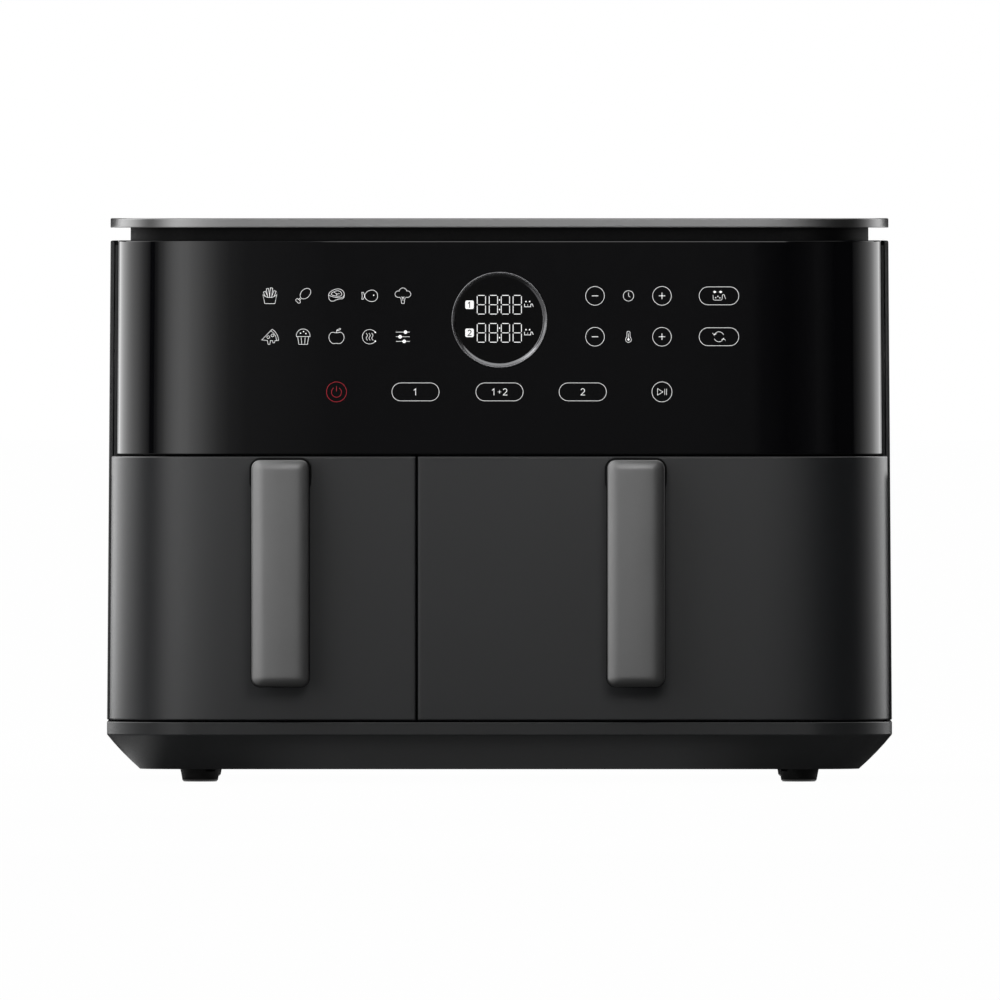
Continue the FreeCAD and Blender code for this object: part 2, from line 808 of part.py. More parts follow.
def top_deck():
    """Ledge inside the shell and the fascia, with the recessed neck standing on it."""
    behind = keep(envelope(shell_wall + fit_gap, z_deck0, z_body1), y0=y_wrap)
    ahead = keep(envelope(fascia_inset + fascia_wall + fit_gap, z_deck0, z_body1), y1=y_wrap)
    neck = envelope(neck_inset, z_body1, z_neck1).cut(envelope(neck_inset + neck_wall, z_body1, z_neck1))
    opening_half = base_width / 2 - deck_opening_margin - column_radius
    opening = slab(-opening_half, opening_half, y_frame_back + 2 * frame_boss_radius,
                   y_env1 - deck_opening_margin, z_deck0 - deck_thickness, z_body1 + neck_height,
                   deck_opening_radius)
    deck = join(behind, [ahead, neck]).cut(opening)
    return drill(deck, neck_slots() + pilots(deck_screw_places))


def top_plate():
    """Thin plate over the neck, with bevelled edges and a locating rib inside the neck."""
    plate = skin([(z_neck1, top_edge), (z_neck1 + top_edge, 0.0), (z_top - top_edge, 0.0), (z_top, top_edge)])
    rib_inset = neck_inset + neck_wall + fit_gap
    rib = envelope(rib_inset, z_neck1 - top_rib_height, z_neck1 + top_edge)
    rib = rib.cut(envelope(rib_inset + top_rib_wall, z_neck1 - top_rib_height, z_neck1 + top_edge))
    return join(plate, [rib])


# Cooking chambers, heaters and ducts

def chamber(zone):
    """Sheet-metal chamber, open at the front and over the basket."""
    outside = box(*chamber_x(zone, chamber_sheet), y_frame_back, y_chamber1 + chamber_sheet,
                  z_chamber0, z_chamber1)
    inside = box(*chamber_x(zone), y_frame_back - frame_thickness, y_chamber1,
                 z_chamber0 + chamber_sheet, z_chamber1 + basket_head_gap)
    return outside.cut(inside)


def drawer_runners():
    """Ledges on the chamber sides that carry the basket rims."""
    runners = []
    top = z_basket1 - basket_wall - runner_gap
    width = chamber_clearance + rim_width - runner_wall_gap
    for zone in zones:
        low, high = chamber_x(zone)
        for x0, x1 in ((low, low + width), (high - width, high)):
            runners.append(box(x0, x1, y_frame_back + fit_gap, y_chamber1 - runner_end_gap,
                               top - runner_height, top))
    return Part.makeCompound(runners)


def element_path(zone):
    """Corners of the element's centre line: down one leg, round the outer loop, back round the inner one."""
    low, high = chamber_x(zone)
    x = middle_x(zone)
    outer = (high - low) / 2 - element_margin_x
    inner = outer - element_pitch
    back = (y_chamber1 - y_frame_back) / 2 - element_margin_y
    plan = [(-outer, back), (-outer, -back), (outer, -back), (outer, back),
            (inner, back), (inner, element_pitch - back), (-inner, element_pitch - back), (-inner, back)]
    points = [V(x + a, y_fan + b, z_element) for a, b in plan]
    top = z_heater1 + element_leg
    return [V(points[0].x, points[0].y, top)] + points + [V(points[-1].x, points[-1].y, top)]


def bent_tube(points, radius, bend):
    """Round bar along square corners, each rounded by a tangent arc of one radius."""
    edges = []
    start = points[0]
    for before, corner, after in zip(points, points[1:], points[2:]):
        a = (before - corner).normalize()
        b = (after - corner).normalize()
        middle = corner + (a + b) * bend * (1 - math.sqrt(0.5))
        edges.append(Part.LineSegment(start, corner + a * bend).toShape())
        edges.append(Part.Arc(corner + a * bend, middle, corner + b * bend).toShape())
        start = corner + b * bend
    edges.append(Part.LineSegment(start, points[-1]).toShape())
    ring = Part.Wire(Part.makeCircle(radius, points[0], points[1] - points[0]))
    return Part.Wire(edges).makePipeShell([ring], True, False)


def heating_element(zone):
    """Tubular element, bent flat under the fan, with both legs up through the heater housing."""
    return bent_tube(element_path(zone), element_radius, element_bend)


def probe_place(zone):
    """Middle of a temperature probe on the heater housing."""
    back = (y_chamber1 - y_frame_back) / 2 - element_margin_y
    return V(middle_x(zone), y_fan + back - probe_margin, z_heater1)


def heater_housing(zone):
    """Sheet-metal lid over a chamber, open below, with holes for the shaft, element, probe and duct."""
    outside = box(*chamber_x(zone, chamber_sheet), y_frame_back, y_chamber1 + chamber_sheet,
                  z_chamber1, z_heater1)
    inside = box(*chamber_x(zone), y_frame_back + chamber_sheet, y_chamber1,
                 z_chamber1 - chamber_sheet, z_heater1 - chamber_sheet)
    through = V(0, 0, 2 * chamber_sheet)
    shaft = V(middle_x(zone), y_fan, z_heater1)
    cuts = [rod(shaft_hole_radius, shaft - through, shaft + through)]
    path = element_path(zone)
    for leg in (path[0], path[-1]):
        place = V(leg.x, leg.y, z_heater1)
        cuts.append(rod(element_radius + slip_gap, place - through, place + through))
    probe = probe_place(zone)
    cuts.append(rod(probe_radius + slip_gap, probe - through, probe + through))
    outer, inner = duct_x(zone)
    cuts.append(box(outer - zone.side * duct_sheet, inner + zone.side * duct_sheet, y_chamber1 - chamber_sheet,
                    y_chamber1 + 2 * chamber_sheet, z_duct0 + duct_sheet, z_duct1 - duct_sheet))
    return drill(outside.cut(inside), cuts)


def element_guard(zone):
    """Slotted plate under the heating element."""
    low, high = chamber_x(zone, -fit_gap)
    front = y_frame_back + chamber_sheet + fit_gap
    back = y_chamber1 - fit_gap
    z0 = z_chamber1 + guard_rise
    plate = box(low, high, front, back, z0, z0 + guard_thickness)
    columns = int((high - low - 2 * guard_margin) // guard_pitch_x)
    rows = int((back - front - 2 * guard_margin) // guard_pitch_y)
    slots = []
    for i in range(columns):
        x = middle_x(zone) + (i - (columns - 1) / 2) * guard_pitch_x
        for j in range(rows):
            y = (front + back) / 2 + (j - (rows - 1) / 2) * guard_pitch_y
            slots.append(box(x - guard_slot_width / 2, x + guard_slot_width / 2,
                             y - guard_slot_length / 2, y + guard_slot_length / 2,
                             z0 - guard_thickness, z0 + 2 * guard_thickness))
    return plate.cut(Part.makeCompound(slots))


def exhaust_ducts():
    """Square ducts from the heater housings to the rear cover's lower louvres."""
    ducts = []
    for zone in zones:
        outer, inner = duct_x(zone)
        front = y_chamber1 + chamber_sheet
        back = y_env1 - slip_gap
        tube = box(outer, inner, front, back, z_duct0, z_duct1)
        bore = box(outer - zone.side * duct_sheet, inner + zone.side * duct_sheet, front - duct_sheet,
                   back + duct_sheet, z_duct0 + duct_sheet, z_duct1 - duct_sheet)
        ducts.append(tube.cut(bore))
    return Part.makeCompound(ducts)


def temperature_probes():
    """Probe rods through the heater housings, each with a flange on top."""
    probes = []
    for zone in zones:
        seat = probe_place(zone)
        up = V(0, 0, 1)
        stem = rod(probe_radius, seat - up * probe_length, seat + up * probe_flange)
        probes.append(join(stem, [rod(probe_flange_radius, seat, seat + up * probe_flange)]))
    return Part.makeCompound(probes)


# Motors and fans

def motor_brackets():
    """Plates on four legs over the heater housings."""
    brackets = []
    for zone in zones:
        x = middle_x(zone)
        plate = slab(x - bracket_half, x + bracket_half, y_fan - bracket_half, y_fan + bracket_half,
                     z_bracket, z_motor0, bracket_corner)
        legs = []
        for seat, way, length in motor_screw_places(zone):
            legs.append(rod(bracket_leg_radius, V(seat.x, seat.y, z_heater1), V(seat.x, seat.y, z_motor0)))
        middle = V(x, y_fan, z_bracket - bracket_sheet)
        hole = rod(shaft_hole_radius, middle, middle + V(0, 0, 3 * bracket_sheet))
        brackets.append(drill(join(plate, legs), [hole] + pilots(motor_screw_places(zone))))
    return Part.makeCompound(brackets)


def fan_motor(zone):
    """Motor with a square flange, a round body and an end cap, bored for its shaft."""
    x = middle_x(zone)
    low = V(x, y_fan, z_motor0)
    up = V(0, 0, 1)
    flange = slab(x - bracket_half, x + bracket_half, y_fan - bracket_half, y_fan + bracket_half,
                  z_motor0, z_motor0 + motor_flange, bracket_corner)
    body = rod(motor_radius, low, V(x, y_fan, z_motor1))
    cap = rod(motor_cap_radius, low, V(x, y_fan, z_motor1 + motor_cap_height))
    bore = rod(shaft_radius + running_gap, low - up, V(x, y_fan, z_shaft1 + running_gap))
    return drill(join(flange, [body, cap]), [bore] + pilots(motor_screw_places(zone)))


def motor_shaft(zone):
    """Shaft from the nut under the hot-air fan up into the motor."""
    return rod(shaft_radius, V(middle_x(zone), y_fan, z_shaft0), V(middle_x(zone), y_fan, z_shaft1))


def fan(zone, z0, z1, radius):
    """Bladed fan: a hub, a disc over the blades and straight blades, pressed on the shaft."""
    middle = V(middle_x(zone), y_fan, z0)
    up = V(0, 0, z1 - z0)
    hub = rod(fan_hub_radius, middle, middle + up)
    disc_radius = radius - fan_blade_overhang
    pieces = [rod(disc_radius, middle + V(0, 0, z1 - z0 - fan_sheet), middle + up)]
    for number in range(fan_blades):
        blade = box(middle.x + fan_hub_radius - fan_sheet, middle.x + radius,
                    y_fan - fan_sheet / 2, y_fan + fan_sheet / 2, z0, z1 - fan_sheet / 2)
        blade.rotate(middle, V(0, 0, 1), 360.0 * number / fan_blades)
        pieces.append(blade)
    bore = rod(shaft_radius + press_gap, middle - up, middle + up * 2)
    return join(hub, pieces).cut(bore)


def hot_fan(zone):
    """Fan that blows the hot air, inside the heater housing."""
    return fan(zone, z_fan0, z_fan1, zone.fan_radius)


def cooling_fan(zone):
    """Smaller fan over the heater housing that cools the motor."""
    low = z_heater1 + cooling_fan_rise
    return fan(zone, low, low + cooling_fan_height, cooling_fan_radius)


def fan_nut(zone):
    """Hexagon nut under the hot-air fan."""
    middle = V(middle_x(zone), y_fan, z_shaft0)
    turns = [math.radians(60 * i) for i in range(7)]
    corners = [middle + V(math.cos(a), math.sin(a), 0) * nut_radius for a in turns]
    nut = Part.Face(Part.makePolygon(corners)).extrude(V(0, 0, nut_height))
    bore = rod(shaft_radius + press_gap, middle - V(0, 0, nut_height), middle + V(0, 0, 2 * nut_height))
    return nut.cut(bore)


# Drawer switches

def drawer_switches():
    """Switch bodies on the frame's back, each bored for its plunger."""
    switches = []
    for zone in zones:
        place = plunger_place(zone)
        body = box(place.x - switch_width / 2, place.x + switch_width / 2, y_frame_back,
                   y_frame_back + switch_depth, z_switch - switch_height / 2, z_switch + switch_height / 2)
        bore = rod(plunger_radius + slip_gap, place, V(place.x, y_frame_back + plunger_tail + slip_gap, place.z))
        switches.append(body.cut(bore))
    return Part.makeCompound(switches)


def switch_plunger(zone):
    """Plunger through the frame, up to the back of the closed drawer."""
    place = plunger_place(zone)
    return rod(plunger_radius, V(place.x, y_cap_back + plunger_gap, place.z),
               V(place.x, y_frame_back + plunger_tail, place.z))


# Drawers

def seam_x(zone):
    """Edge of a drawer front beside the other drawer."""
    return drawer_split + zone.side * seam_gap / 2


def drawer_front(zone):
    """Hollow front that wraps the corner, notched at the back for the basket."""
    far = zone.side * reach
    block = keep(envelope(drawer_inset, z_body0, z_drawer_top), x0=seam_x(zone), x1=far, y1=y_cap_back)
    bay = box(zone.x_outer + zone.side * bay_clearance, -far, y_basket0, reach, -reach, reach)
    hollow = envelope(drawer_inset + cap_wall, z_body0 + cap_wall, z_drawer_top - cap_wall)
    hollow = keep(hollow, x0=seam_x(zone) + zone.side * cap_wall, x1=far)
    return drill(block, [bay, hollow] + pilots(handle_screw_places(zone)))


def drawer_liner(zone):
    """Bent plate that closes the drawer front's back and the side of the bay."""
    z0 = z_body0 + cap_wall + fit_gap
    z1 = z_drawer_top - cap_wall - fit_gap
    bay_x = zone.x_outer + zone.side * bay_clearance
    wing_x = bay_x + zone.side * liner_thickness
    inner_x = seam_x(zone) + zone.side * (cap_wall + fit_gap)
    back = box(inner_x, wing_x, y_basket0 - liner_thickness, y_basket0, z0, z1)
    side = box(bay_x, wing_x, y_basket0 - liner_thickness, y_cap_back, z0, z1)
    wing = envelope(drawer_inset + cap_wall + fit_gap, z0, z1)
    wing = keep(wing, x0=bay_x, x1=zone.side * reach, y0=y_cap_back - liner_thickness, y1=y_cap_back)
    return join(back, [side, wing])


def handle_core(zone):
    """Spine behind the handle's cover, and the collar that carries it off the drawer front."""
    x = middle_x(zone)
    top = z_drawer_top - collar_drop
    back = y_face - finger_gap
    collar = panel(x - collar_width / 2, x + collar_width / 2, top - collar_height, top, back, y_face,
                   collar_radius)
    half = cover_width / 2 + core_lip
    cover_top = top - cover_drop
    spine = panel(x - half, x + half, cover_top - cover_height - core_lip, cover_top + core_lip,
                  back - spine_thickness, back, cover_corner_radius + core_lip)
    return drill(join(collar, [spine]), pilots(handle_screw_places(zone)))


def handle_cover(zone):
    """Grip on the front of the spine, rounded along its front edges."""
    x = middle_x(zone)
    top = z_drawer_top - collar_drop - cover_drop
    back = y_face - finger_gap - spine_thickness
    grip = panel(x - cover_width / 2, x + cover_width / 2, top - cover_height, top,
                 back - cover_thickness, back, cover_corner_radius)
    front = back - cover_thickness
    edges = [edge for edge in grip.Edges if edge.BoundBox.YMax < front + fit_gap]
    return grip.makeFillet(min(cover_edge, cover_corner_radius - fit_gap), edges)


def tub(zone, growth, z0, z1, bottom_radius):
    """Rounded block with a rounded underside, drawn in from the basket wall's outside by growth."""
    low, high = sorted((zone.x_outer, zone.x_inner))
    block = slab(low + rim_width + growth, high - rim_width - growth, y_basket0 + growth,
                 y_basket1 - rim_width - growth, z0, z1, basket_corner_radius - growth)
    edges = [edge for edge in block.Edges if edge.BoundBox.ZMax < z0 + fit_gap]
    return block.makeFillet(bottom_radius, edges)


def basket(zone):
    """Pan with rounded corners and a flat rim on the sides and back."""
    outside = tub(zone, 0.0, z_basket0, z_basket1, basket_bottom_radius)
    inside = tub(zone, basket_wall, z_basket0 + basket_wall, z_basket1 + basket_wall,
                 basket_bottom_radius - basket_wall)
    low, high = sorted((zone.x_outer, zone.x_inner))
    rim = slab(low, high, y_basket0, y_basket1, z_basket1 - basket_wall, z_basket1, basket_corner_radius)
    return join(outside, [rim]).cut(inside)


# Crisper plates

def plate_edges(zone):
    """Lower x, upper x, front and back of a crisper plate."""
    low, high = sorted((zone.x_outer, zone.x_inner))
    inset = basket_wall + plate_clearance
    return (low + rim_width + inset, high - rim_width - inset, y_basket0 + inset, y_basket1 - rim_width - inset)


def bumper_blocks(zone):
    """Silicone bumpers on the plate's long edges, close to the basket's walls."""
    low, high, front, back = plate_edges(zone)
    gap = plate_clearance - bumper_wall_gap
    blocks = []
    for y in (front + bumper_end_inset, back - bumper_end_inset):
        for x0, x1 in ((low - gap, low + bumper_width), (high - bumper_width, high + gap)):
            blocks.append(box(x0, x1, y - bumper_length / 2, y + bumper_length / 2,
                              z_plate0 - bumper_skirt, z_plate1 + bumper_cap))
    return blocks


def crisper_plate(zone):
    """Slotted plate on four feet, notched for its bumpers."""
    low, high, front, back = plate_edges(zone)
    corner = basket_corner_radius - basket_wall - plate_clearance
    plate = slab(low, high, front, back, z_plate0, z_plate1, corner)
    columns = int((high - low - 2 * hole_margin) // hole_pitch_x)
    rows = int((back - front - 2 * hole_margin) // hole_pitch_y)
    holes = []
    for i in range(columns):
        x = (low + high) / 2 + (i - (columns - 1) / 2) * hole_pitch_x
        for j in range(rows):
            y = (front + back) / 2 + (j - (rows - 1) / 2) * hole_pitch_y
            holes.append(slab(x - hole_width / 2, x + hole_width / 2, y - hole_length / 2, y + hole_length / 2,
                              z_plate0 - plate_thickness, z_plate1 + plate_thickness,
                              hole_width / 2 - fit_gap))
    feet = []
    z_foot = z_basket0 + basket_wall + plate_foot_gap
    for x in (low + plate_foot_inset, high - plate_foot_inset):
        for y in (front + plate_foot_inset, back - plate_foot_inset):
            feet.append(rod(plate_foot_radius, V(x, y, z_foot), V(x, y, z_plate1)))
    plate = plate.cut(Part.makeCompound(holes))
    return drill(join(plate, feet), bumper_blocks(zone))


def plate_bumpers(zone):
    """The bumpers as a group of separate solids."""
    return Part.makeCompound(bumper_blocks(zone))


def whole_nodes():
    """Nodes that the part has once, or once for both zones together."""
    motor_places = [place for zone in zones for place in motor_screw_places(zone)]
    return {
        "base_tray": base_tray(),
        "rubber_feet": rubber_feet(),
        "base_screws": screws(base_screw_places),
        "outer_shell": outer_shell(),
        "rear_cover": rear_cover(),
        "rear_cover_screws": screws(rear_screw_places),
        "cord_gland": cord_gland(),
        "front_frame": front_frame(),
        "control_fascia": control_fascia(),
        "display_ring": display_ring(),
        "display_lens": display_lens(),
        "display_module": display_module(),
        "touch_board": touch_board(),
        "power_board": power_board(),
        "board_screws": screws(touch_screw_places + power_screw_places),
        "top_deck": top_deck(),
        "deck_screws": screws(deck_screw_places),
        "top_plate": top_plate(),
        "drawer_runners": drawer_runners(),
        "exhaust_ducts": exhaust_ducts(),
        "temperature_probes": temperature_probes(),
        "motor_brackets": motor_brackets(),
        "motor_screws": screws(motor_places),
        "drawer_switches": drawer_switches(),
    }


# Nodes that each zone has, named with the zone in front
zone_nodes = {
    "chamber": chamber,
    "heater_housing": heater_housing,
    "heating_element": heating_element,
    "element_guard": element_guard,
    "fan_motor": fan_motor,
    "motor_shaft": motor_shaft,
    "hot_fan": hot_fan,
    "cooling_fan": cooling_fan,
    "fan_nut": fan_nut,
    "switch_plunger": switch_plunger,
    "drawer_front": drawer_front,
    "drawer_liner": drawer_liner,
    "handle_core": handle_core,
    "handle_cover": handle_cover,
    "basket": basket,
    "crisper_plate": crisper_plate,
    "plate_bumpers": plate_bumpers,
}


def handle_screws(zone):
    """Screws from inside a drawer front into its handle."""
    return screws(handle_screw_places(zone))


def main():
    """Write every node."""
    os.makedirs("parts", exist_ok=True)
    made = whole_nodes()
    for zone in zones:
        for name, maker in zone_nodes.items():
            made[f"{zone.name}_{name}"] = maker(zone)
        made[f"{zone.name}_handle_screws"] = handle_screws(zone)
    for name, shape in made.items():
        shape.exportStep(f"parts/{name}.step")


if __name__ == "__main__":
    main()
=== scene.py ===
"""Looks of a two-drawer counter-top air fryer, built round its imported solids.

Lengths are in millimetres until a mesh is made: +X to the viewer's right, -Y out of the front, +Z up.
"""

import json
import math

import bmesh
import bpy
import numpy as np
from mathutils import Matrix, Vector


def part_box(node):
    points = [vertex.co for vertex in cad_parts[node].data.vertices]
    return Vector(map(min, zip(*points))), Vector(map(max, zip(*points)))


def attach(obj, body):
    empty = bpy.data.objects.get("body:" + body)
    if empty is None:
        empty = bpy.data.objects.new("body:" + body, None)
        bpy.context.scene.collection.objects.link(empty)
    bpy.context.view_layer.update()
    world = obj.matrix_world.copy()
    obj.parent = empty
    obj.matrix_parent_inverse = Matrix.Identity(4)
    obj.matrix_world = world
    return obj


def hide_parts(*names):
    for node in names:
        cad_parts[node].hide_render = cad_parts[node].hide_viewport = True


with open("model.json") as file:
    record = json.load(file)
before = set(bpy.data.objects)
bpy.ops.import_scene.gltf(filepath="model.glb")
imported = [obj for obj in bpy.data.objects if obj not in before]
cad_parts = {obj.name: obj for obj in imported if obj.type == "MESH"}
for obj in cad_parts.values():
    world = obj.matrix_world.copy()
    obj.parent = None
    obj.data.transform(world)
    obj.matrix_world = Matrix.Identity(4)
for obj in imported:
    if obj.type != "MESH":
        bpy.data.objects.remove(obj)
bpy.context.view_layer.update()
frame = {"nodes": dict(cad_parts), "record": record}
mm = 0.001


def node_box(name):
    """A node's lowest and highest corner in millimetres."""
    low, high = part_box(name)
    return np.array(low) / mm, np.array(high) / mm


# Sizes read from the frame
base_high = node_box("base_tray")[1]
shell_low, shell_high = node_box("outer_shell")
fascia_low, fascia_high = node_box("control_fascia")
plate_low, plate_high = node_box("top_plate")
ring_low, ring_high = node_box("display_ring")
lens_low, lens_high = node_box("display_lens")
deck_high = node_box("top_deck")[1]
drawer_low = node_box("left_drawer_front")[0]
rear_low, rear_high = node_box("rear_cover")

# Envelope of the body
half_width = base_high[0]
band_top = 32.6  # heights of the base's upright band
band_bottom = 25.6
draft = math.tan(math.radians(0.42))  # inward lean of the sides
front_plane = plate_low[1]
rear_plane = shell_high[1]
wrap_plane = shell_low[1]
front_radius = 46.0
front_ease = 430.0  # extra radius with which a front corner starts out of the flat face
front_ease_turn = math.radians(4)  # turn over which that extra radius fades
rear_radius = 40.0
corner_steps = 30
corner_crowding = 1.6  # power that crowds a front corner's stations at its start
edge_steps = 4  # on each small rounding
face_row = edge_steps + 2  # corners of a wall's profile below the first row of its face

# Walls and edge roundings
wall = 2.5
skin_soft = 30  # degrees up to which a copied node is shaded softly
band_edge = 0.5
shell_edge = 1.0
shell_lip = 0.6
fascia_inset = 4.0
fascia_edge = 0.5
fascia_top_edge = 0.6
fascia_floor_depth = 22.0
drawer_inset = 1.5
drawer_edge = 0.8
drawer_depth = 22.0
drawer_seam = -44.7  # X of the middle of the gap between the drawers
drawer_gap = 0.9
plate_edge = 0.7
plate_edge_steps = 5
plate_under_edge = 0.25
plate_rim = 3.0  # level rim round the faces that close the plate
rear_lap = 9.0
support = 0.25  # narrow strip beside a rounding that keeps the wide face beside it flat

# Display
display_z = (ring_low[2] + ring_high[2]) / 2
ring_radius = ring_high[0]
lens_radius = lens_high[0]
lens_face = lens_low[1]
hole_gap = 0.15
patch_half = 34.0  # half the square of fascia that holds the display's round hole
patch_steps = 24  # stations on each side of that square
rim_round = 0.5
rim_turn = -150  # degrees from the ring's side over its rim to the cone
ring_steps = 144
lens_lip = 0.3  # ledge of the ring round the lens
lens_lip_height = 0.1

# Handles
handle_crown = 0.7  # bulge of the grip across its width
handle_rise = 0.65  # how far the face falls back towards its edges
handle_reach = 6.5  # over this width beside them
handle_end_share = 0.75  # share of that width at the upper and lower end
handle_round = 0.8  # small rounding between the face and the sides
handle_corner = 4.6
handle_corner_fade = 0.55  # share of a ring's inset by which its corners' radius shrinks
handle_least_corner = 0.25
handle_middle = 0.3  # half the width of the innermost ring
handle_flat_back = 1.0  # rings within this depth of the back have no bulge
handle_back_edge = np.array([[0.8, 0.0], [0.4, 0.0], [0.1, 0.1], [0.0, 0.5]])  # insets and heights

# Printed and lit symbols
stroke = 0.2
bold_stroke = 0.31
ink = 0.06  # print height over the surface
digit_stroke = 0.38
mark_stroke = 0.3
upper_row, lower_row, bottom_row = 263.0, 240.9, 211.1
food_columns = [-124.1, -106.1, -88.1, -70.2, -52.2]
minus_x, middle_x, plus_x, option_x = 51.6, 69.7, 87.8, 118.6
small_key, large_key = 5.05, 5.4  # radii of the round keys
pill_height = 9.7
option_width, drawer_pill_width = 21.4, 25.5
display_rows = (258.2, 243.0)
digit_columns = (-9.8, -3.3, 3.2, 9.6)
badge_x = -16.2
badge_size, badge_corner = 4.6, 0.9
badge_scale, badge_stroke = 0.85, 0.5  # of the number in it
mark_x, mark_rise = 15.8, 0.4


# Colour and nodes

def linear(code):
    """A six-figure sRGB code as linear red, green, blue and full alpha."""
    parts = np.array([int(code[i:i + 2], 16) for i in (1, 3, 5)]) / 255
    light = np.where(parts <= 0.04045, parts / 12.92, ((parts + 0.055) / 1.055) ** 2.4)
    return (*light.tolist(), 1.0)


def node(tree, kind, inputs=None, **settings):
    """Adds a node, gives it its settings, and sets or links its inputs, each by its name or its number."""
    made = tree.nodes.new(kind)
    for name, value in settings.items():
        setattr(made, name, value)
    for name, value in (inputs or {}).items():
        if isinstance(value, bpy.types.NodeSocket):
            tree.links.new(value, made.inputs[name])
        else:
            made.inputs[name].default_value = value
    return made


def finish(name, colour, roughness, metallic=0.0, grain=0.8, relief=0.004, swing=0.06, mottle=0.06,
           cloud=30.0, **sockets):
    """A surface of one real material. Fine noise of the grain's size in millimetres gives relief and swings
    the roughness, and a slow noise of the cloud's size mottles the colour."""
    material = bpy.data.materials.new(name)
    material.use_nodes = True
    tree = material.node_tree
    shader = tree.nodes["Principled BSDF"]
    shader.inputs["Metallic"].default_value = metallic
    for socket, value in sockets.items():
        shader.inputs[socket.replace("_", " ")].default_value = value
    place = node(tree, "ShaderNodeTexCoord").outputs["Object"]
    fine = node(tree, "ShaderNodeTexNoise", {"Vector": place, "Scale": 1 / (grain * mm), "Detail": 2.0})
    slow = node(tree, "ShaderNodeTexNoise", {"Vector": place, "Scale": 1 / (cloud * mm), "Detail": 3.0})
    rough = node(tree, "ShaderNodeMapRange", {"Value": fine.outputs[0], "From Min": 0.3, "From Max": 0.7,
                                              "To Min": roughness - swing, "To Max": roughness + swing})
    base = np.array(linear(colour)[:3])
    dark, pale = [(*np.clip(base * k, 0, 1), 1.0) for k in (1 - mottle, 1 + mottle)]
    tone = node(tree, "ShaderNodeMix", {0: slow.outputs[0], 6: dark, 7: pale}, data_type="RGBA")
    bump = node(tree, "ShaderNodeBump", {"Height": fine.outputs[0], "Distance": relief * mm, "Strength": 1.0})
    tree.links.new(tone.outputs[2], shader.inputs["Base Color"])
    tree.links.new(rough.outputs["Result"], shader.inputs["Roughness"])
    tree.links.new(bump.outputs["Normal"], shader.inputs["Normal"])
    return material


# Finishes

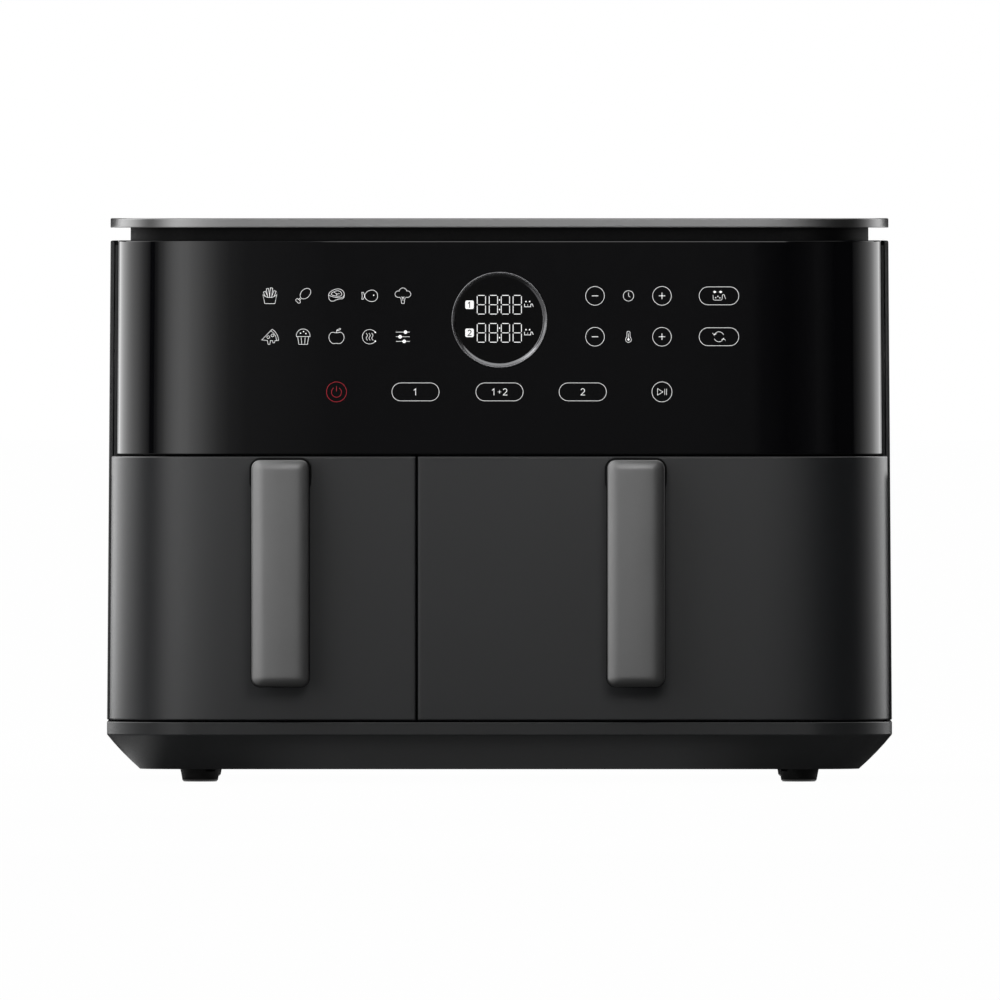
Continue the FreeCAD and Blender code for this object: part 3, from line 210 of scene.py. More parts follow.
def make_finishes():
    """Every finish by the name of its slot in the record."""
    made = {}

    def add(slot, *values, **sockets):
        made[slot] = finish(*values, **sockets)

    # Moulded ABS, fine spark-eroded texture: a soft, dark sheen with no sharp reflections
    add("housing_plastic", "black_abs_textured", "#212223", 0.40, grain=0.9, relief=0.006, IOR=1.5)
    # Gloss-black acrylic panel: mirror-like, with only the faintest ripple of the moulding
    add("fascia_gloss", "black_acrylic_gloss", "#08080A", 0.045, grain=9.0, relief=0.0006, swing=0.012,
        IOR=1.49)
    # Smoked acrylic window: as black as the panel, a shade smoother
    add("smoked_lens", "smoked_acrylic", "#060607", 0.03, grain=9.0, relief=0.0003, swing=0.01, IOR=1.49)
    # Dark chrome plating on a turned ring: sharp bright and dark bands
    add("bezel_dark", "dark_chrome", "#8C8C8E", 0.2, metallic=1.0, grain=0.6, relief=0.001, swing=0.03)
    # Satin lacquer over ABS: deep grey that lifts where it turns to the light
    add("drawer_satin", "anthracite_satin_lacquer", "#191A1C", 0.33, grain=1.1, relief=0.003, swing=0.03,
        IOR=1.6)
    # Moulded polypropylene behind the drawer fronts: dull and darker than they are
    add("liner_plastic", "black_polypropylene", "#101112", 0.5, grain=1.2, relief=0.008, IOR=1.49)
    # Glass-filled nylon behind the grips: a dull black rim round them
    add("handle_black", "black_nylon", "#050506", 0.6, grain=1.0, relief=0.006, IOR=1.53,
        Specular_IOR_Level=0.15)
    # Metallic lacquer on the handle covers: a fine flake that reads as brushed gunmetal
    add("handle_grey", "gunmetal_lacquer", "#808080", 0.34, metallic=1.0, grain=0.7, relief=0.002,
        swing=0.05, mottle=0.05)
    # Bead-blasted, anodised aluminium plate: an even grey that lights up along its edge
    add("top_metallic", "anodised_aluminium", "#8E8E8E", 0.33, metallic=1.0, grain=0.4, relief=0.0008,
        swing=0.02, mottle=0.03)
    # Rubber feet: dark, with a weak, broad sheen
    add("foot_rubber", "nitrile_rubber", "#111111", 0.42, grain=1.4, relief=0.012, IOR=1.52)
    # Silicone bumpers: a soft, dull black
    add("silicone", "black_silicone", "#1A1A1B", 0.5, grain=1.6, relief=0.006, IOR=1.43)
    # Fluoropolymer coat on pressed steel: charcoal with a soft gloss and a slight orange peel
    add("nonstick", "charcoal_nonstick_coat", "#26272A", 0.3, grain=1.5, relief=0.008, swing=0.06,
        IOR=1.38, mottle=0.12, cloud=12.0)
    # Aluminised steel sheet: pale and slightly cloudy
    add("chamber_steel", "aluminised_steel", "#A6A8AA", 0.36, metallic=1.0, grain=2.4, relief=0.004,
        swing=0.08, mottle=0.1, cloud=18.0)
    # Heating tube: brown-grey and blotched by heat
    add("element_steel", "oxidised_nickel_steel", "#5C544E", 0.45, metallic=1.0, grain=1.0, mottle=0.2,
        cloud=9.0)
    # Pressed fan blades: pale and plain
    add("fan_aluminium", "pressed_aluminium", "#B9BBBD", 0.34, metallic=1.0, grain=1.0)
    # Screws and shafts: small bright glints
    add("bright_steel", "zinc_plated_steel", "#B4B7BA", 0.28, metallic=1.0, grain=0.7)
    # Motor cans and brackets: mid-grey with a cloudy spangle
    add("motor_steel", "galvanised_steel", "#85888B", 0.42, metallic=1.0, grain=2.0, mottle=0.14,
        cloud=8.0)
    # Circuit laminate: dark green with half a gloss
    add("board", "green_circuit_laminate", "#12392B", 0.4, grain=1.2, relief=0.01, mottle=0.18, cloud=5.0)
    # Switch bodies: plain black moulding
    add("switch_plastic", "black_switch_nylon", "#202021", 0.42, grain=1.0, relief=0.006, IOR=1.53)
    # The deck's neck, matt and deep in the lid's shade: black ABS painted much darker than the housing, as
    # painted shade for its recess
    add("neck_painted_shade", "black_abs_painted_shade", "#060607", 0.6, grain=0.9, relief=0.006, IOR=1.5,
        Specular_IOR_Level=0.2)
    # Backlit print under the panel's surface: even, soft white or red with no gloss of its own
    lit = {"grain": 0.5, "relief": 0.0, "mottle": 0.04, "cloud": 3.0}
    add("print_white", "backlit_white_print", "#C4C4C4", 0.5, Emission_Color=linear("#FFFFFF"),
        Emission_Strength=0.75, **lit)
    add("print_red", "backlit_red_print", "#A01626", 0.5, Emission_Color=linear("#E02038"),
        Emission_Strength=0.35, **lit)
    add("lit_digits", "lit_white_segments", "#C4C4C4", 0.5, Emission_Color=linear("#FFFFFF"),
        Emission_Strength=0.65, **lit)
    # Unlit mask of the badges' numbers
    add("badge_ink", "black_segment_mask", "#0A0A0B", 0.4, grain=0.5, relief=0.0, mottle=0.1, cloud=3.0)
    return made


# Meshes

def grid_faces(rows, columns, wrap_rows=False, wrap_columns=False):
    """Four-cornered faces of a grid of corners, one row after another. Either direction may join round."""
    i = np.arange(rows if wrap_rows else rows - 1)[:, None]
    j = np.arange(columns if wrap_columns else columns - 1)[None, :]
    after_i = (i + 1) % rows * columns
    after_j = (j + 1) % columns
    around = [i * columns + j, i * columns + after_j, after_i + after_j, after_i + j]
    return np.stack(np.broadcast_arrays(*around), axis=-1)


def net(corners, **wraps):
    """Numbers of a grid of corners, and its faces."""
    rows, columns = corners.shape[:2]
    return np.arange(rows * columns).reshape(rows, columns), grid_faces(rows, columns, **wraps)


def body_of(node_name):
    """The body that carries a CAD node."""
    bodies = frame["record"]["behaviour"]["bodies"]
    return next(body for body, members in bodies.items() if node_name in members)


def settle(mesh, name, body, slot, soft, stands_for):
    """Shades a mesh softly up to an angle and hangs it on its body in its slot's finish."""
    mesh.shade_smooth()
    mesh.set_sharp_from_angle(angle=math.radians(soft))
    made = bpy.data.objects.new(name, mesh)
    bpy.context.scene.collection.objects.link(made)
    mesh.materials.append(finishes[slot])
    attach(made, body)
    if stands_for:
        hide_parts(*stands_for)
    return made


def piece(name, body, slot, shapes, stands_for=(), soft=40):
    """One mesh from shapes, each corners with their blocks of faces. Shared corners are merged."""
    counts = [corners.size // 3 for corners, _ in shapes]
    starts = np.cumsum([0] + counts[:-1])
    places = np.concatenate([corners.reshape(-1, 3) for corners, _ in shapes]) * mm
    faces = []
    for start, (_, blocks) in zip(starts, shapes):
        for block in blocks:
            block = np.asarray(block)
            faces += (block.reshape(-1, block.shape[-1]) + start).tolist()
    mesh = bpy.data.meshes.new(name)
    mesh.from_pydata(places.tolist(), [], faces)
    work = bmesh.new()
    work.from_mesh(mesh)
    bmesh.ops.remove_doubles(work, verts=work.verts, dist=0.002 * mm)
    bmesh.ops.recalc_face_normals(work, faces=work.faces)
    work.to_mesh(mesh)
    work.free()
    settle(mesh, name, body, slot, soft, stands_for)


def dressed(node_name, slot, edges=None):
    """A merged copy of a CAD node with its flat facets joined. Where an edge's ends and middle all pass the
    test on their places in millimetres, the edge is rounded."""
    name = node_name + "_skin"
    mesh = bpy.data.meshes.new(name)
    work = bmesh.new()
    work.from_mesh(frame["nodes"][node_name].data)
    bmesh.ops.remove_doubles(work, verts=work.verts, dist=0.001 * mm)
    bmesh.ops.dissolve_limit(work, angle_limit=math.radians(0.2), verts=work.verts, edges=work.edges)
    work.to_mesh(mesh)
    work.free()
    made = settle(mesh, name, body_of(node_name), slot, skin_soft, [node_name])
    if edges:
        places = np.empty(len(mesh.vertices) * 3)
        mesh.vertices.foreach_get("co", places)
        numbers = np.empty(len(mesh.edges) * 2, dtype=int)
        mesh.edges.foreach_get("vertices", numbers)
        ends = places.reshape(-1, 3)[numbers.reshape(-1, 2)] / mm
        spots = np.concatenate([ends, ends.mean(axis=1, keepdims=True)], axis=1)
        passed = edges(spots).all(axis=1)
        weight = mesh.attributes.new("bevel_weight_edge", "FLOAT", "EDGE")
        weight.data.foreach_set("value", passed.astype(np.float32))
        rounding = made.modifiers.new("rounding", "BEVEL")
        rounding.limit_method = "WEIGHT"
        rounding.width = band_edge * mm
        rounding.segments = 3
    flats = made.modifiers.new("flats", "WEIGHTED_NORMAL")
    flats.keep_sharp = True


# Rails round the body and profiles carried along them

def arc(centre, radius, start, end, steps):
    """Points on a circle from one angle to another, in degrees."""
    angle = np.radians(np.linspace(start, end, steps + 1))
    return np.array(centre) + radius * np.stack([np.cos(angle), np.sin(angle)], axis=1)


def run(start, end, shares, leans=(0, 0)):
    """Stations at shares of a straight run: place, outward direction on the right hand, and lean, which
    goes evenly from one end to the other."""
    start, end, shares = (np.array(v, dtype=float) for v in (start, end, shares))
    along = (end - start) / np.linalg.norm(end - start)
    places = start + shares[:, None] * (end - start)
    outward = np.broadcast_to([along[1], -along[0]], places.shape)
    return np.column_stack([places, outward, leans[0] + shares * (leans[1] - leans[0])])


def eased(turn):
    """How far the fading extra radius carries a front corner across and back, from a turn on to the full
    quarter: the integrals of exp(-turn / fade) times cosine and sine."""
    def across_and_back(angle):
        fade = front_ease_turn
        size = front_ease * np.exp(-angle / fade) / (1 / fade ** 2 + 1)
        return size * (np.sin(angle) - np.cos(angle) / fade), size * (-np.cos(angle) - np.sin(angle) / fade)
    here, full = across_and_back(turn), across_and_back(np.pi / 2)
    return full[0] - here[0], full[1] - here[1]


def front_corner():
    """Stations of the right front corner. Its radius starts out large beside the flat face and settles to a
    steady one, so reflections flow into the corner."""
    turn = np.pi / 2 * np.linspace(0, 1, corner_steps + 1) ** corner_crowding
    steady = front_radius - eased(0.0)[1]
    across, back = eased(turn)
    x = half_width - steady * (1 - np.sin(turn)) - across
    y = front_turn - steady * np.cos(turn) - back
    return np.column_stack([x, y, np.sin(turn), -np.cos(turn), np.ones(len(turn))])


def rear_corner():
    """Stations of the right rear corner, each a radius from its centre along its outward direction."""
    outward = arc((0, 0), 1.0, 0, 90, corner_steps)
    places = np.array([rear_flat_half, rear_turn]) + rear_radius * outward
    return np.column_stack([places, outward, np.ones(len(outward))])


def mirrored(rail):
    """A rail's mirror image on the other side, in the opposite order."""
    return rail[::-1] * np.array([-1, 1, -1, 1, -1])


def carried(rail, profile):
    """A profile of insets and heights carried along a rail. Each corner lies its inset inwards from the
    station, and the body's draft leans it inwards by its height over the base band."""
    inset, height = profile[..., 0], profile[..., 1]
    x = rail[:, 0:1] - rail[:, 2:3] * inset - rail[:, 4:5] * draft * (height - band_top)
    y = rail[:, 1:2] - rail[:, 3:4] * inset
    return np.stack(np.broadcast_arrays(x, y, height), axis=-1)


front_turn = front_plane + front_radius
flat_half = half_width - front_radius + eased(0.0)[1] - eased(0.0)[0]
rear_flat_half = half_width - rear_radius
rear_turn = rear_plane - rear_radius


def wall_profile(inset, low, high, edge_low, edge_high, rows, back):
    """Closed section of an upright wall: its outer face with rounded edges and rows, then its back."""
    face = np.column_stack([np.full(len(rows), inset), rows])
    return np.concatenate([
        arc((inset + edge_low, low + edge_low), edge_low, 270, 180, edge_steps),
        [[inset, low + edge_low + support]], face, [[inset, high - edge_high - support]],
        arc((inset + edge_high, high - edge_high), edge_high, 180, 90, edge_steps),
        back,
    ])


def fascia():
    """Gloss panel wrapped round both front corners. A patch with the display's round hole fills a square of
    its face, and its floor closes the space over the drawers."""
    spread = np.tan(np.radians(np.linspace(-45, 45, patch_steps + 1)))
    columns = patch_half * spread
    low, high = fascia_low[2], fascia_high[2]
    back = fascia_high[1]
    right = np.concatenate([
        run((patch_half, front_plane), (flat_half, front_plane), (0.5, 0.99), (0, 1)),
        front_corner(),
        run((half_width, front_turn), (half_width, back), (0.5, 1.0), (1, 1)),
    ])
    middle = run((-patch_half, front_plane), (patch_half, front_plane), (1 + spread) / 2)
    rail = np.concatenate([mirrored(right), middle, right])
    rows = display_z + columns
    behind = fascia_inset + wall
    inner = fascia_inset + fascia_floor_depth
    back_side = np.concatenate([
        [[behind, high]], np.column_stack([np.full(len(rows), behind), rows[::-1]]),
        [[behind, low + wall], [inner, low + wall], [inner, low]]])
    profile = wall_profile(fascia_inset, low, high, fascia_edge, fascia_top_edge, rows, back_side)
    corners = carried(rail, profile)
    numbers, quads = net(corners, wrap_columns=True)
    shown = np.ones(quads.shape[:2], dtype=bool)
    first = 2 + corner_steps + 1 + 2  # stations of the side, the corner and the face before the square
    hole = slice(first, first + patch_steps)
    back_row = len(profile) - len(back_side) + 1
    for row in (face_row, back_row):
        shown[hole, row:row + patch_steps] = False
    shown[:, -2] = False
    closing = [quads[shown], numbers[[0, -1]], numbers[:, -1][None], numbers[:, -2][None],
               numbers[[0, 0, -1, -1], [-1, -2, -2, -1]][None]]
    return [(corners, closing), display_patch()]


def display_patch():
    """Square of fascia with a round hole. Rings run from square to circle, through the wall and back."""
    turn = np.radians(np.arange(4 * patch_steps) * 90 / patch_steps - 45)
    circle = np.stack([np.cos(turn), np.sin(turn)], axis=1)
    square = circle / np.abs(circle).max(axis=1, keepdims=True) * patch_half
    hole = circle * (ring_radius + hole_gap)
    shares = np.array([0, 0.5, 0.97, 1, 1, 0.97, 0.5, 0])[:, None, None]
    flat = square + shares * (hole - square)
    face = front_plane + fascia_inset
    depth = np.broadcast_to(np.array([face] * 4 + [face + wall] * 4)[:, None], flat.shape[:2])
    corners = np.stack([flat[..., 0], depth, display_z + flat[..., 1]], axis=-1)
    return corners, [grid_faces(*corners.shape[:2], wrap_columns=True)]


def drawer_front(side):
    """Drawer front wrapped round one corner: a channel section with rounded edges, closed at the seam and
    behind the wing. It is worked out for the left side and mirrored for the right."""
    name = "left" if side < 0 else "right"
    low, high = (corner[2] for corner in node_box(f"{name}_drawer_front"))
    back = node_box(f"{name}_drawer_front")[1][1]
    seam = -side * (drawer_seam + side * drawer_gap / 2)
    length = seam + flat_half
    turn = np.radians(np.linspace(90, 0, edge_steps + 1))
    end_places = length - drawer_edge * (1 - np.cos(turn))
    end_shrink = drawer_edge * (1 - np.sin(turn))
    front_shares = np.concatenate([[0.6, length / 2, length - wall, length - wall], end_places]) / length
    wing = back - front_turn
    rail = np.concatenate([
        run((-half_width, back), (-half_width, front_turn), (0.0, wall / wing, wall / wing, 0.8), (-1, -1)),
        mirrored(front_corner()),
        run((-flat_half, front_plane), (seam, front_plane), front_shares, (-1, 0)),
    ])
    inner, behind = drawer_inset + drawer_depth, drawer_inset + wall
    back_side = [[inner, high], [inner, high - wall], [behind, high - wall], [behind, low + wall],
                 [inner, low + wall], [inner, low]]
    profile = wall_profile(drawer_inset, low, high, drawer_edge, drawer_edge, [], np.array(back_side))
    stations = len(rail)
    shrink = np.zeros((stations, 1))
    shrink[-len(end_shrink):, 0] = end_shrink
    solid = np.zeros((stations, 1), dtype=bool)
    solid[:2] = True
    solid[-len(end_shrink) - 1:] = True
    inset = np.maximum(profile[:, 0], drawer_inset + shrink)
    hollow = np.zeros((1, len(profile)), dtype=bool)
    hollow[0, -4:-2] = True
    inset = np.where(solid & hollow, inner, inset)
    height = np.clip(profile[:, 1], low + shrink, high - shrink)
    corners = carried(rail, np.stack([inset, height], axis=-1))
    corners[..., 0] *= -side
    numbers, quads = net(corners, wrap_columns=True)
    return [(corners, [quads, numbers[[0, -1]]])]


def top_plate():
    """Thin plate with rounded edges: its edge carried round the outline, closed above and below."""
    low, high = deck_high[2], plate_high[2]
    ends = (0.004, 0.996)
    right = np.concatenate([
        run((-flat_half, front_plane), (flat_half, front_plane), ends[1:], (-1, 1)),
        front_corner(),
        run((half_width, front_turn), (half_width, rear_turn), ends, (1, 1)),
        rear_corner(),
        run((rear_flat_half, rear_plane), (-rear_flat_half, rear_plane), ends[:1], (1, -1)),
    ])
    rail = np.concatenate([right, mirrored(right)])
    rim = plate_edge + support
    profile = np.concatenate([
        [[plate_rim, low], [rim, low]],
        arc((plate_under_edge, low + plate_under_edge), plate_under_edge, 270, 180,
            plate_edge_steps),
        [[0, low + rim], [0, high - rim]],
        arc((plate_edge, high - plate_edge), plate_edge, 180, 90, plate_edge_steps),
        [[rim, high], [plate_rim, high]],
    ])
    corners = carried(rail, profile)
    numbers, quads = net(corners, wrap_rows=True)
    return [(corners, [quads, numbers[:, 0][None], numbers[:, -1][None]])]


def shell():
    """Sides and back in one wall, carried from the right front edge round the back to the left, with
    rounded front and upper edges and the opening that the rear cover closes."""
    low, high = drawer_low[2], shell_high[2]
    opening_half = rear_high[0] - rear_lap
    opening_rows = np.array([rear_low[2] + rear_lap, rear_high[2] - rear_lap])
    turn = np.radians(np.linspace(0, 90, edge_steps + 1))
    lip_places = shell_lip * (1 - np.cos(turn))
    lip_shrink = shell_lip * (1 - np.sin(turn))
    depth = rear_turn - wrap_plane
    lips = np.concatenate([lip_places, [2 * shell_lip]]) / depth
    right = np.concatenate([
        run((half_width, wrap_plane), (half_width, rear_turn), np.append(lips, 0.995), (1, 1)),
        rear_corner(),
        run((rear_flat_half, rear_plane), (opening_half, rear_plane), (0.05, 0.5), (1, 0)),
        run((opening_half, rear_plane), (-opening_half, rear_plane), (0,)),
    ])
    rail = np.concatenate([right, mirrored(right)])
    back_side = [[wall, high], [wall, opening_rows[1]], [wall, opening_rows[0]], [wall, low]]
    profile = wall_profile(0, low, high, shell_lip, shell_edge, opening_rows, np.array(back_side))
    stations = len(rail)
    shrink = np.zeros((stations, 1))
    shrink[:len(turn), 0] = lip_shrink
    shrink[-len(turn):, 0] = lip_shrink[::-1]
    inset = np.clip(profile[:, 0], shrink, wall - shrink)
    height = np.clip(profile[:, 1], low + shrink, high - shrink)
    corners = carried(rail, np.stack([inset, height], axis=-1))
    numbers, quads = net(corners, wrap_columns=True)
    first = len(lips) + 1 + corner_steps + 1 + 2  # stations of the side, the corner and the back
    back_row = len(profile) - 3
    shown = np.ones(quads.shape[:2], dtype=bool)
    shown[first, [face_row, back_row]] = False
    across = [first, first + 1, first + 1, first]
    outer = numbers[across, [face_row, face_row, face_row + 1, face_row + 1]]
    inner = numbers[across, [back_row + 1, back_row + 1, back_row, back_row]]
    sides = np.stack([outer, np.roll(outer, -1), np.roll(inner, -1), inner], axis=1)
    return [(corners, [quads[shown], sides, numbers[[0, -1]]])]


# Handles and the display's ring

def loops(half_x, half_z, radius, steps=8):
    """Rounded rectangles, one per entry. Each corner's arc has its centre a radius in from both sides."""
    angle = np.radians(np.linspace(0, 90, steps + 1))[None, :] + np.radians(np.arange(4) * 90)[:, None]
    sign_x = np.array([1, -1, -1, 1])[:, None]
    sign_z = np.array([1, 1, -1, -1])[:, None]
    half_x, half_z, radius = (np.asarray(v, dtype=float)[:, None, None] for v in (half_x, half_z, radius))
    x = sign_x * (half_x - radius) + radius * np.cos(angle)
    z = sign_z * (half_z - radius) + radius * np.sin(angle)
    count = len(half_x)
    return np.stack([x.reshape(count, -1), z.reshape(count, -1)], axis=-1)


def handle_cover(name):
    """Grip cover: rounded rectangles stacked from the back to the front. A small rounding leads from the
    sides to the face, which rises as a parabola and bulges across its width as another."""
    low, high = node_box(f"{name}_handle_cover")
    half_x, half_z = (high[0] - low[0]) / 2, (high[2] - low[2]) / 2
    lean = math.atan2(2 * handle_rise, handle_reach)
    turn = np.linspace(0, math.pi / 2 - lean, 7)
    share = np.linspace(0, 1, 11)[1:]
    round_inset = handle_round * (1 - np.cos(turn))
    rise_inset = handle_reach * share
    flat_width = half_x - handle_reach - round_inset[-1] - handle_middle
    flat_inset = handle_reach + flat_width * np.linspace(0, 1, 6)[1:]
    inner = np.concatenate([rise_inset, flat_inset])
    outer = np.concatenate([handle_back_edge[:, 0], round_inset])
    sides = np.concatenate([outer, round_inset[-1] + inner])
    ends = np.concatenate([outer, round_inset[-1] + handle_end_share * inner])
    full = high[1] - low[1]
    edge = handle_rise + handle_round * (np.sin(turn[-1]) - np.sin(turn))
    depth = np.concatenate([full - handle_back_edge[:, 1], edge, handle_rise * (1 - share) ** 2,
                            np.zeros(len(flat_inset))])
    radius = np.maximum(handle_corner - handle_corner_fade * sides, handle_least_corner)
    flat = loops(half_x - sides, half_z - ends, radius)
    shares = np.linspace(0, 1, 10)[1:-1, None]
    last = flat.shape[1] // 4 - 1
    across = [flat[:, None, i] + shares * (flat[:, None, i + 1] - flat[:, None, i])
              for i in (last, 3 * last + 2)]
    flat = np.concatenate([flat[:, :last + 1], across[0], flat[:, last + 1:3 * last + 3], across[1],
                           flat[:, 3 * last + 3:]], axis=1)
    middle = (low + high) / 2
    bulge = np.where(depth < full - handle_flat_back, handle_crown, 0.0)
    y = low[1] + depth[:, None] + bulge[:, None] * (flat[..., 0] / half_x) ** 2
    corners = np.stack([middle[0] + flat[..., 0], y, middle[2] + flat[..., 1]], axis=-1)
    numbers, quads = net(corners, wrap_columns=True)
    return [(corners, [quads, numbers[[0, -1]]])]


def display_ring():
    """Turned bezel: a section of radii and depths spun about the display's axis, with a rounded outer rim
    and a cone down to the window."""
    face, back = ring_low[1], ring_high[1]
    section = np.concatenate([
        [[ring_radius, back], [ring_radius, face + rim_round + support]],
        arc((ring_radius - rim_round, face + rim_round), rim_round, 0, rim_turn, 8),
        [[lens_radius + lens_lip, lens_face - lens_lip_height], [lens_radius, lens_face],
         [lens_radius, back]],
    ])
    turn = np.radians(np.arange(ring_steps) * 360 / ring_steps)[:, None]
    x = section[:, 0] * np.cos(turn)
    z = display_z + section[:, 0] * np.sin(turn)
    corners = np.stack(np.broadcast_arrays(x, section[:, 1], z), axis=-1)
    return [(corners, [grid_faces(*corners.shape[:2], wrap_rows=True, wrap_columns=True)])]


# Symbols drawn with strokes on the panel

def ribbon(points, width, closed=False):
    """A stroke of even width as a thin bar: points are carried sideways by half the width along the mean of
    their two neighbours' normals. An open stroke's ends are half circles."""
    points = np.asarray(points, dtype=float)
    step = np.roll(points, -1, axis=0) - points
    step /= np.linalg.norm(step, axis=1, keepdims=True) + 1e-12
    before = np.roll(step, 1, axis=0)
    if not closed:
        step[-1] = before[-1]
        before[0] = step[0]
    along = step + before
    along /= np.linalg.norm(along, axis=1, keepdims=True) + 1e-12
    half = np.full(len(points), width / 2)
    half /= np.maximum((along * step).sum(axis=1), 0.5)
    if not closed:
        cap = np.radians(np.array([90, 65, 40, 18]))[:, None]
        first = points[0] - along[0] * np.sin(cap) * width / 2
        last = points[-1] + along[-1] * np.sin(cap[::-1]) * width / 2
        points = np.concatenate([first, points, last])
        round_half = np.cos(cap[:, 0]) * width / 2
        half = np.concatenate([round_half, half, round_half[::-1]])
        count = len(cap)
        along = np.concatenate([along[:1].repeat(count, axis=0), along, along[-1:].repeat(count, axis=0)])
    sideways = np.stack([-along[:, 1], along[:, 0]], axis=1) * half[:, None]
    flat = np.stack([points + sideways, points + sideways, points - sideways, points - sideways], axis=1)
    height = np.broadcast_to([0.0, ink, ink, 0.0], flat.shape[:2])
    corners = np.dstack([flat, height])
    faces = grid_faces(len(points), 4, wrap_rows=closed, wrap_columns=True)
    return corners, [faces]


def filled(outline):
    """A filled patch of print: its outline twice, one print height apart, closed above and below."""
    outline = np.asarray(outline, dtype=float)
    count = len(outline)
    height = np.repeat([0.0, ink], count)
    corners = np.column_stack([np.tile(outline, (2, 1)), height])
    numbers = np.arange(2 * count).reshape(2, count)
    return corners, [grid_faces(2, count, wrap_columns=True), numbers]


def ring(radius, centre=(0, 0), steps=48):
    """A closed circle's points."""
    return arc(centre, radius, 0, 360 - 360 / steps, steps - 1)


def wave(formula, steps=64):
    """A closed curve: the formula gives X and Z for one full turn of its angle."""
    turn = np.arange(steps) * 2 * np.pi / steps
    return np.stack(formula(turn), axis=1)


def line(*points):
    """An open stroke through points."""
    return ribbon(points, stroke)


def loop(points):
    """A closed stroke through points."""
    return ribbon(points, stroke, closed=True)


def dot(centre, radius):
    """A filled round dot."""
    return filled(ring(radius, centre, 20))


def capsule(width, height, radius=None):
    """Outline of a rounded rectangle, or of a pill where no radius is given."""
    return loops([width / 2], [height / 2], [radius or height / 2 - 0.01], 12)[0]


def chips():
    """Chips fanned out of a carton whose front edge dips."""
    dip = arc((0, 4.4), 5.3, -44, -136, 12)
    made = [loop(np.concatenate([[[-2.7, -4.2], [2.7, -4.2]], dip]))]
    for lean, top in ((-24, 7.3), (-9, 8.4), (6, 8.7), (22, 7.6)):
        way = np.array([math.sin(math.radians(lean)), math.cos(math.radians(lean))])
        side = np.array([way[1], -way[0]]) * 0.62
        foot = 3.5 + abs(lean) * 0.06
        ends = [way * foot - side, way * top - side, way * top + side, way * foot + side]
        made.append(line(*(np.array(ends) - [0, 4.4])))
    return made


def drumstick():
    """A leg leaning to the right with a two-knobbed bone."""
    turn = math.radians(45)
    meat = wave(lambda t: (1.2 + 3.3 * np.cos(t) * math.cos(turn) - 2.3 * np.sin(t) * math.sin(turn),
                           1.2 + 3.3 * np.cos(t) * math.sin(turn) + 2.3 * np.sin(t) * math.cos(turn)))
    knobs = [line(*arc((-3.2, -2.3), 0.8, 20, 260, 14)), line(*arc((-2.3, -3.2), 0.8, 190, 430, 14))]
    return [loop(meat), line((-1.6, -1.1), (-2.5, -2.0)), line((-1.1, -1.6), (-2.0, -2.5))] + knobs


def chop():
    """A thick chop: a bean-shaped face, its lower edge, and the bone in it."""
    def bean(wide, tall):
        return wave(lambda t: (wide * 4.2 * np.cos(t),
                               1.1 + tall * (2.3 * np.sin(t) - 0.45 * np.cos(2 * t + 0.9))))
    edge = [(-4.2, 0.8), (-4.1, -1.6), (-3.1, -2.8), (-1.6, -2.9), (-0.2, -2.2), (1.4, -1.7), (3.2, -1.6),
            (4.1, -0.8), (4.2, 0.9)]
    bone = [line((-1.2, 1.9), (0.2, 1.0), (1.6, 1.2)), line((0.2, 1.0), (0, 0.2))]
    return [loop(bean(1, 1)), loop(bean(0.68, 0.62)), line(*edge)] + bone


def fish():
    """A round-bodied fish facing right."""
    body = wave(lambda t: (0.85 + 3.5 * np.cos(t), 3.1 * np.sin(t) * (1 + 0.12 * np.cos(t))))
    tail = [(-2.6, 0.0), (-3.3, 1.8), (-4.2, 1.9), (-4.0, 0.0), (-4.2, -1.9), (-3.3, -1.8)]
    return [loop(body), loop(tail), dot((2.2, 0.3), 0.34)]


def broccoli():
    """Three round lobes over a stem with two forks."""
    lobes = [arc((-2.5, 0.9), 1.75, 75, 292, 18), arc((0, 2.1), 2.15, 12, 168, 16),
             arc((2.5, 0.9), 1.75, -112, 105, 18)]
    stem = [(-1.8, -0.7), (-1.0, -1.6), (-0.7, -4.1), (0.7, -4.1), (1.0, -1.6), (1.8, -0.7)]
    forks = [line((0, -2.6), (0, -0.6)), line((0, -1.5), (-0.7, -0.5)), line((0, -1.5), (0.7, -0.5))]
    return [line(*lobe) for lobe in lobes] + [line(*stem)] + forks


def pizza():
    """A slice lying on its side with a curved crust, melting cheese and rounds of topping."""
    crust = arc((-2.6, -2.2), 7.3, 2, 58, 14)
    inner = arc((-2.6, -2.2), 6.2, 2, 60, 14)
    cheese = [(4.6, -2.0), (2.8, -2.1), (2.5, -3.3), (1.7, -3.3), (1.4, -2.1), (0.3, -2.0), (0.0, -4.1),
              (-1.0, -4.1), (-1.3, -2.0), (-4.4, -1.7), (1.2, 4.0)]
    rounds = [loop(ring(0.75, place, 16)) for place in ((-0.9, -0.2), (1.4, 0.7))]
    return [line(*cheese), line(*crust), line(*inner)] + rounds


def muffin():
    """A domed cake in a pleated cup."""
    dome = np.concatenate([arc((0, 0.5), 3.7, 0, 180, 22), [[-3.7, 0.1], [3.7, 0.1]]])
    cup = [(-3.0, 0.0), (-2.3, -4.1), (2.3, -4.1), (3.0, 0.0)]
    pleats = [line((x, -0.4), (0.75 * x, -3.7)) for x in (-1.1, 1.1)]
    crumbs = [dot(place, 0.34) for place in ((-1.4, 1.9), (0.2, 2.8), (1.5, 1.7))]
    return [loop(dome), line(*cup)] + pleats + crumbs


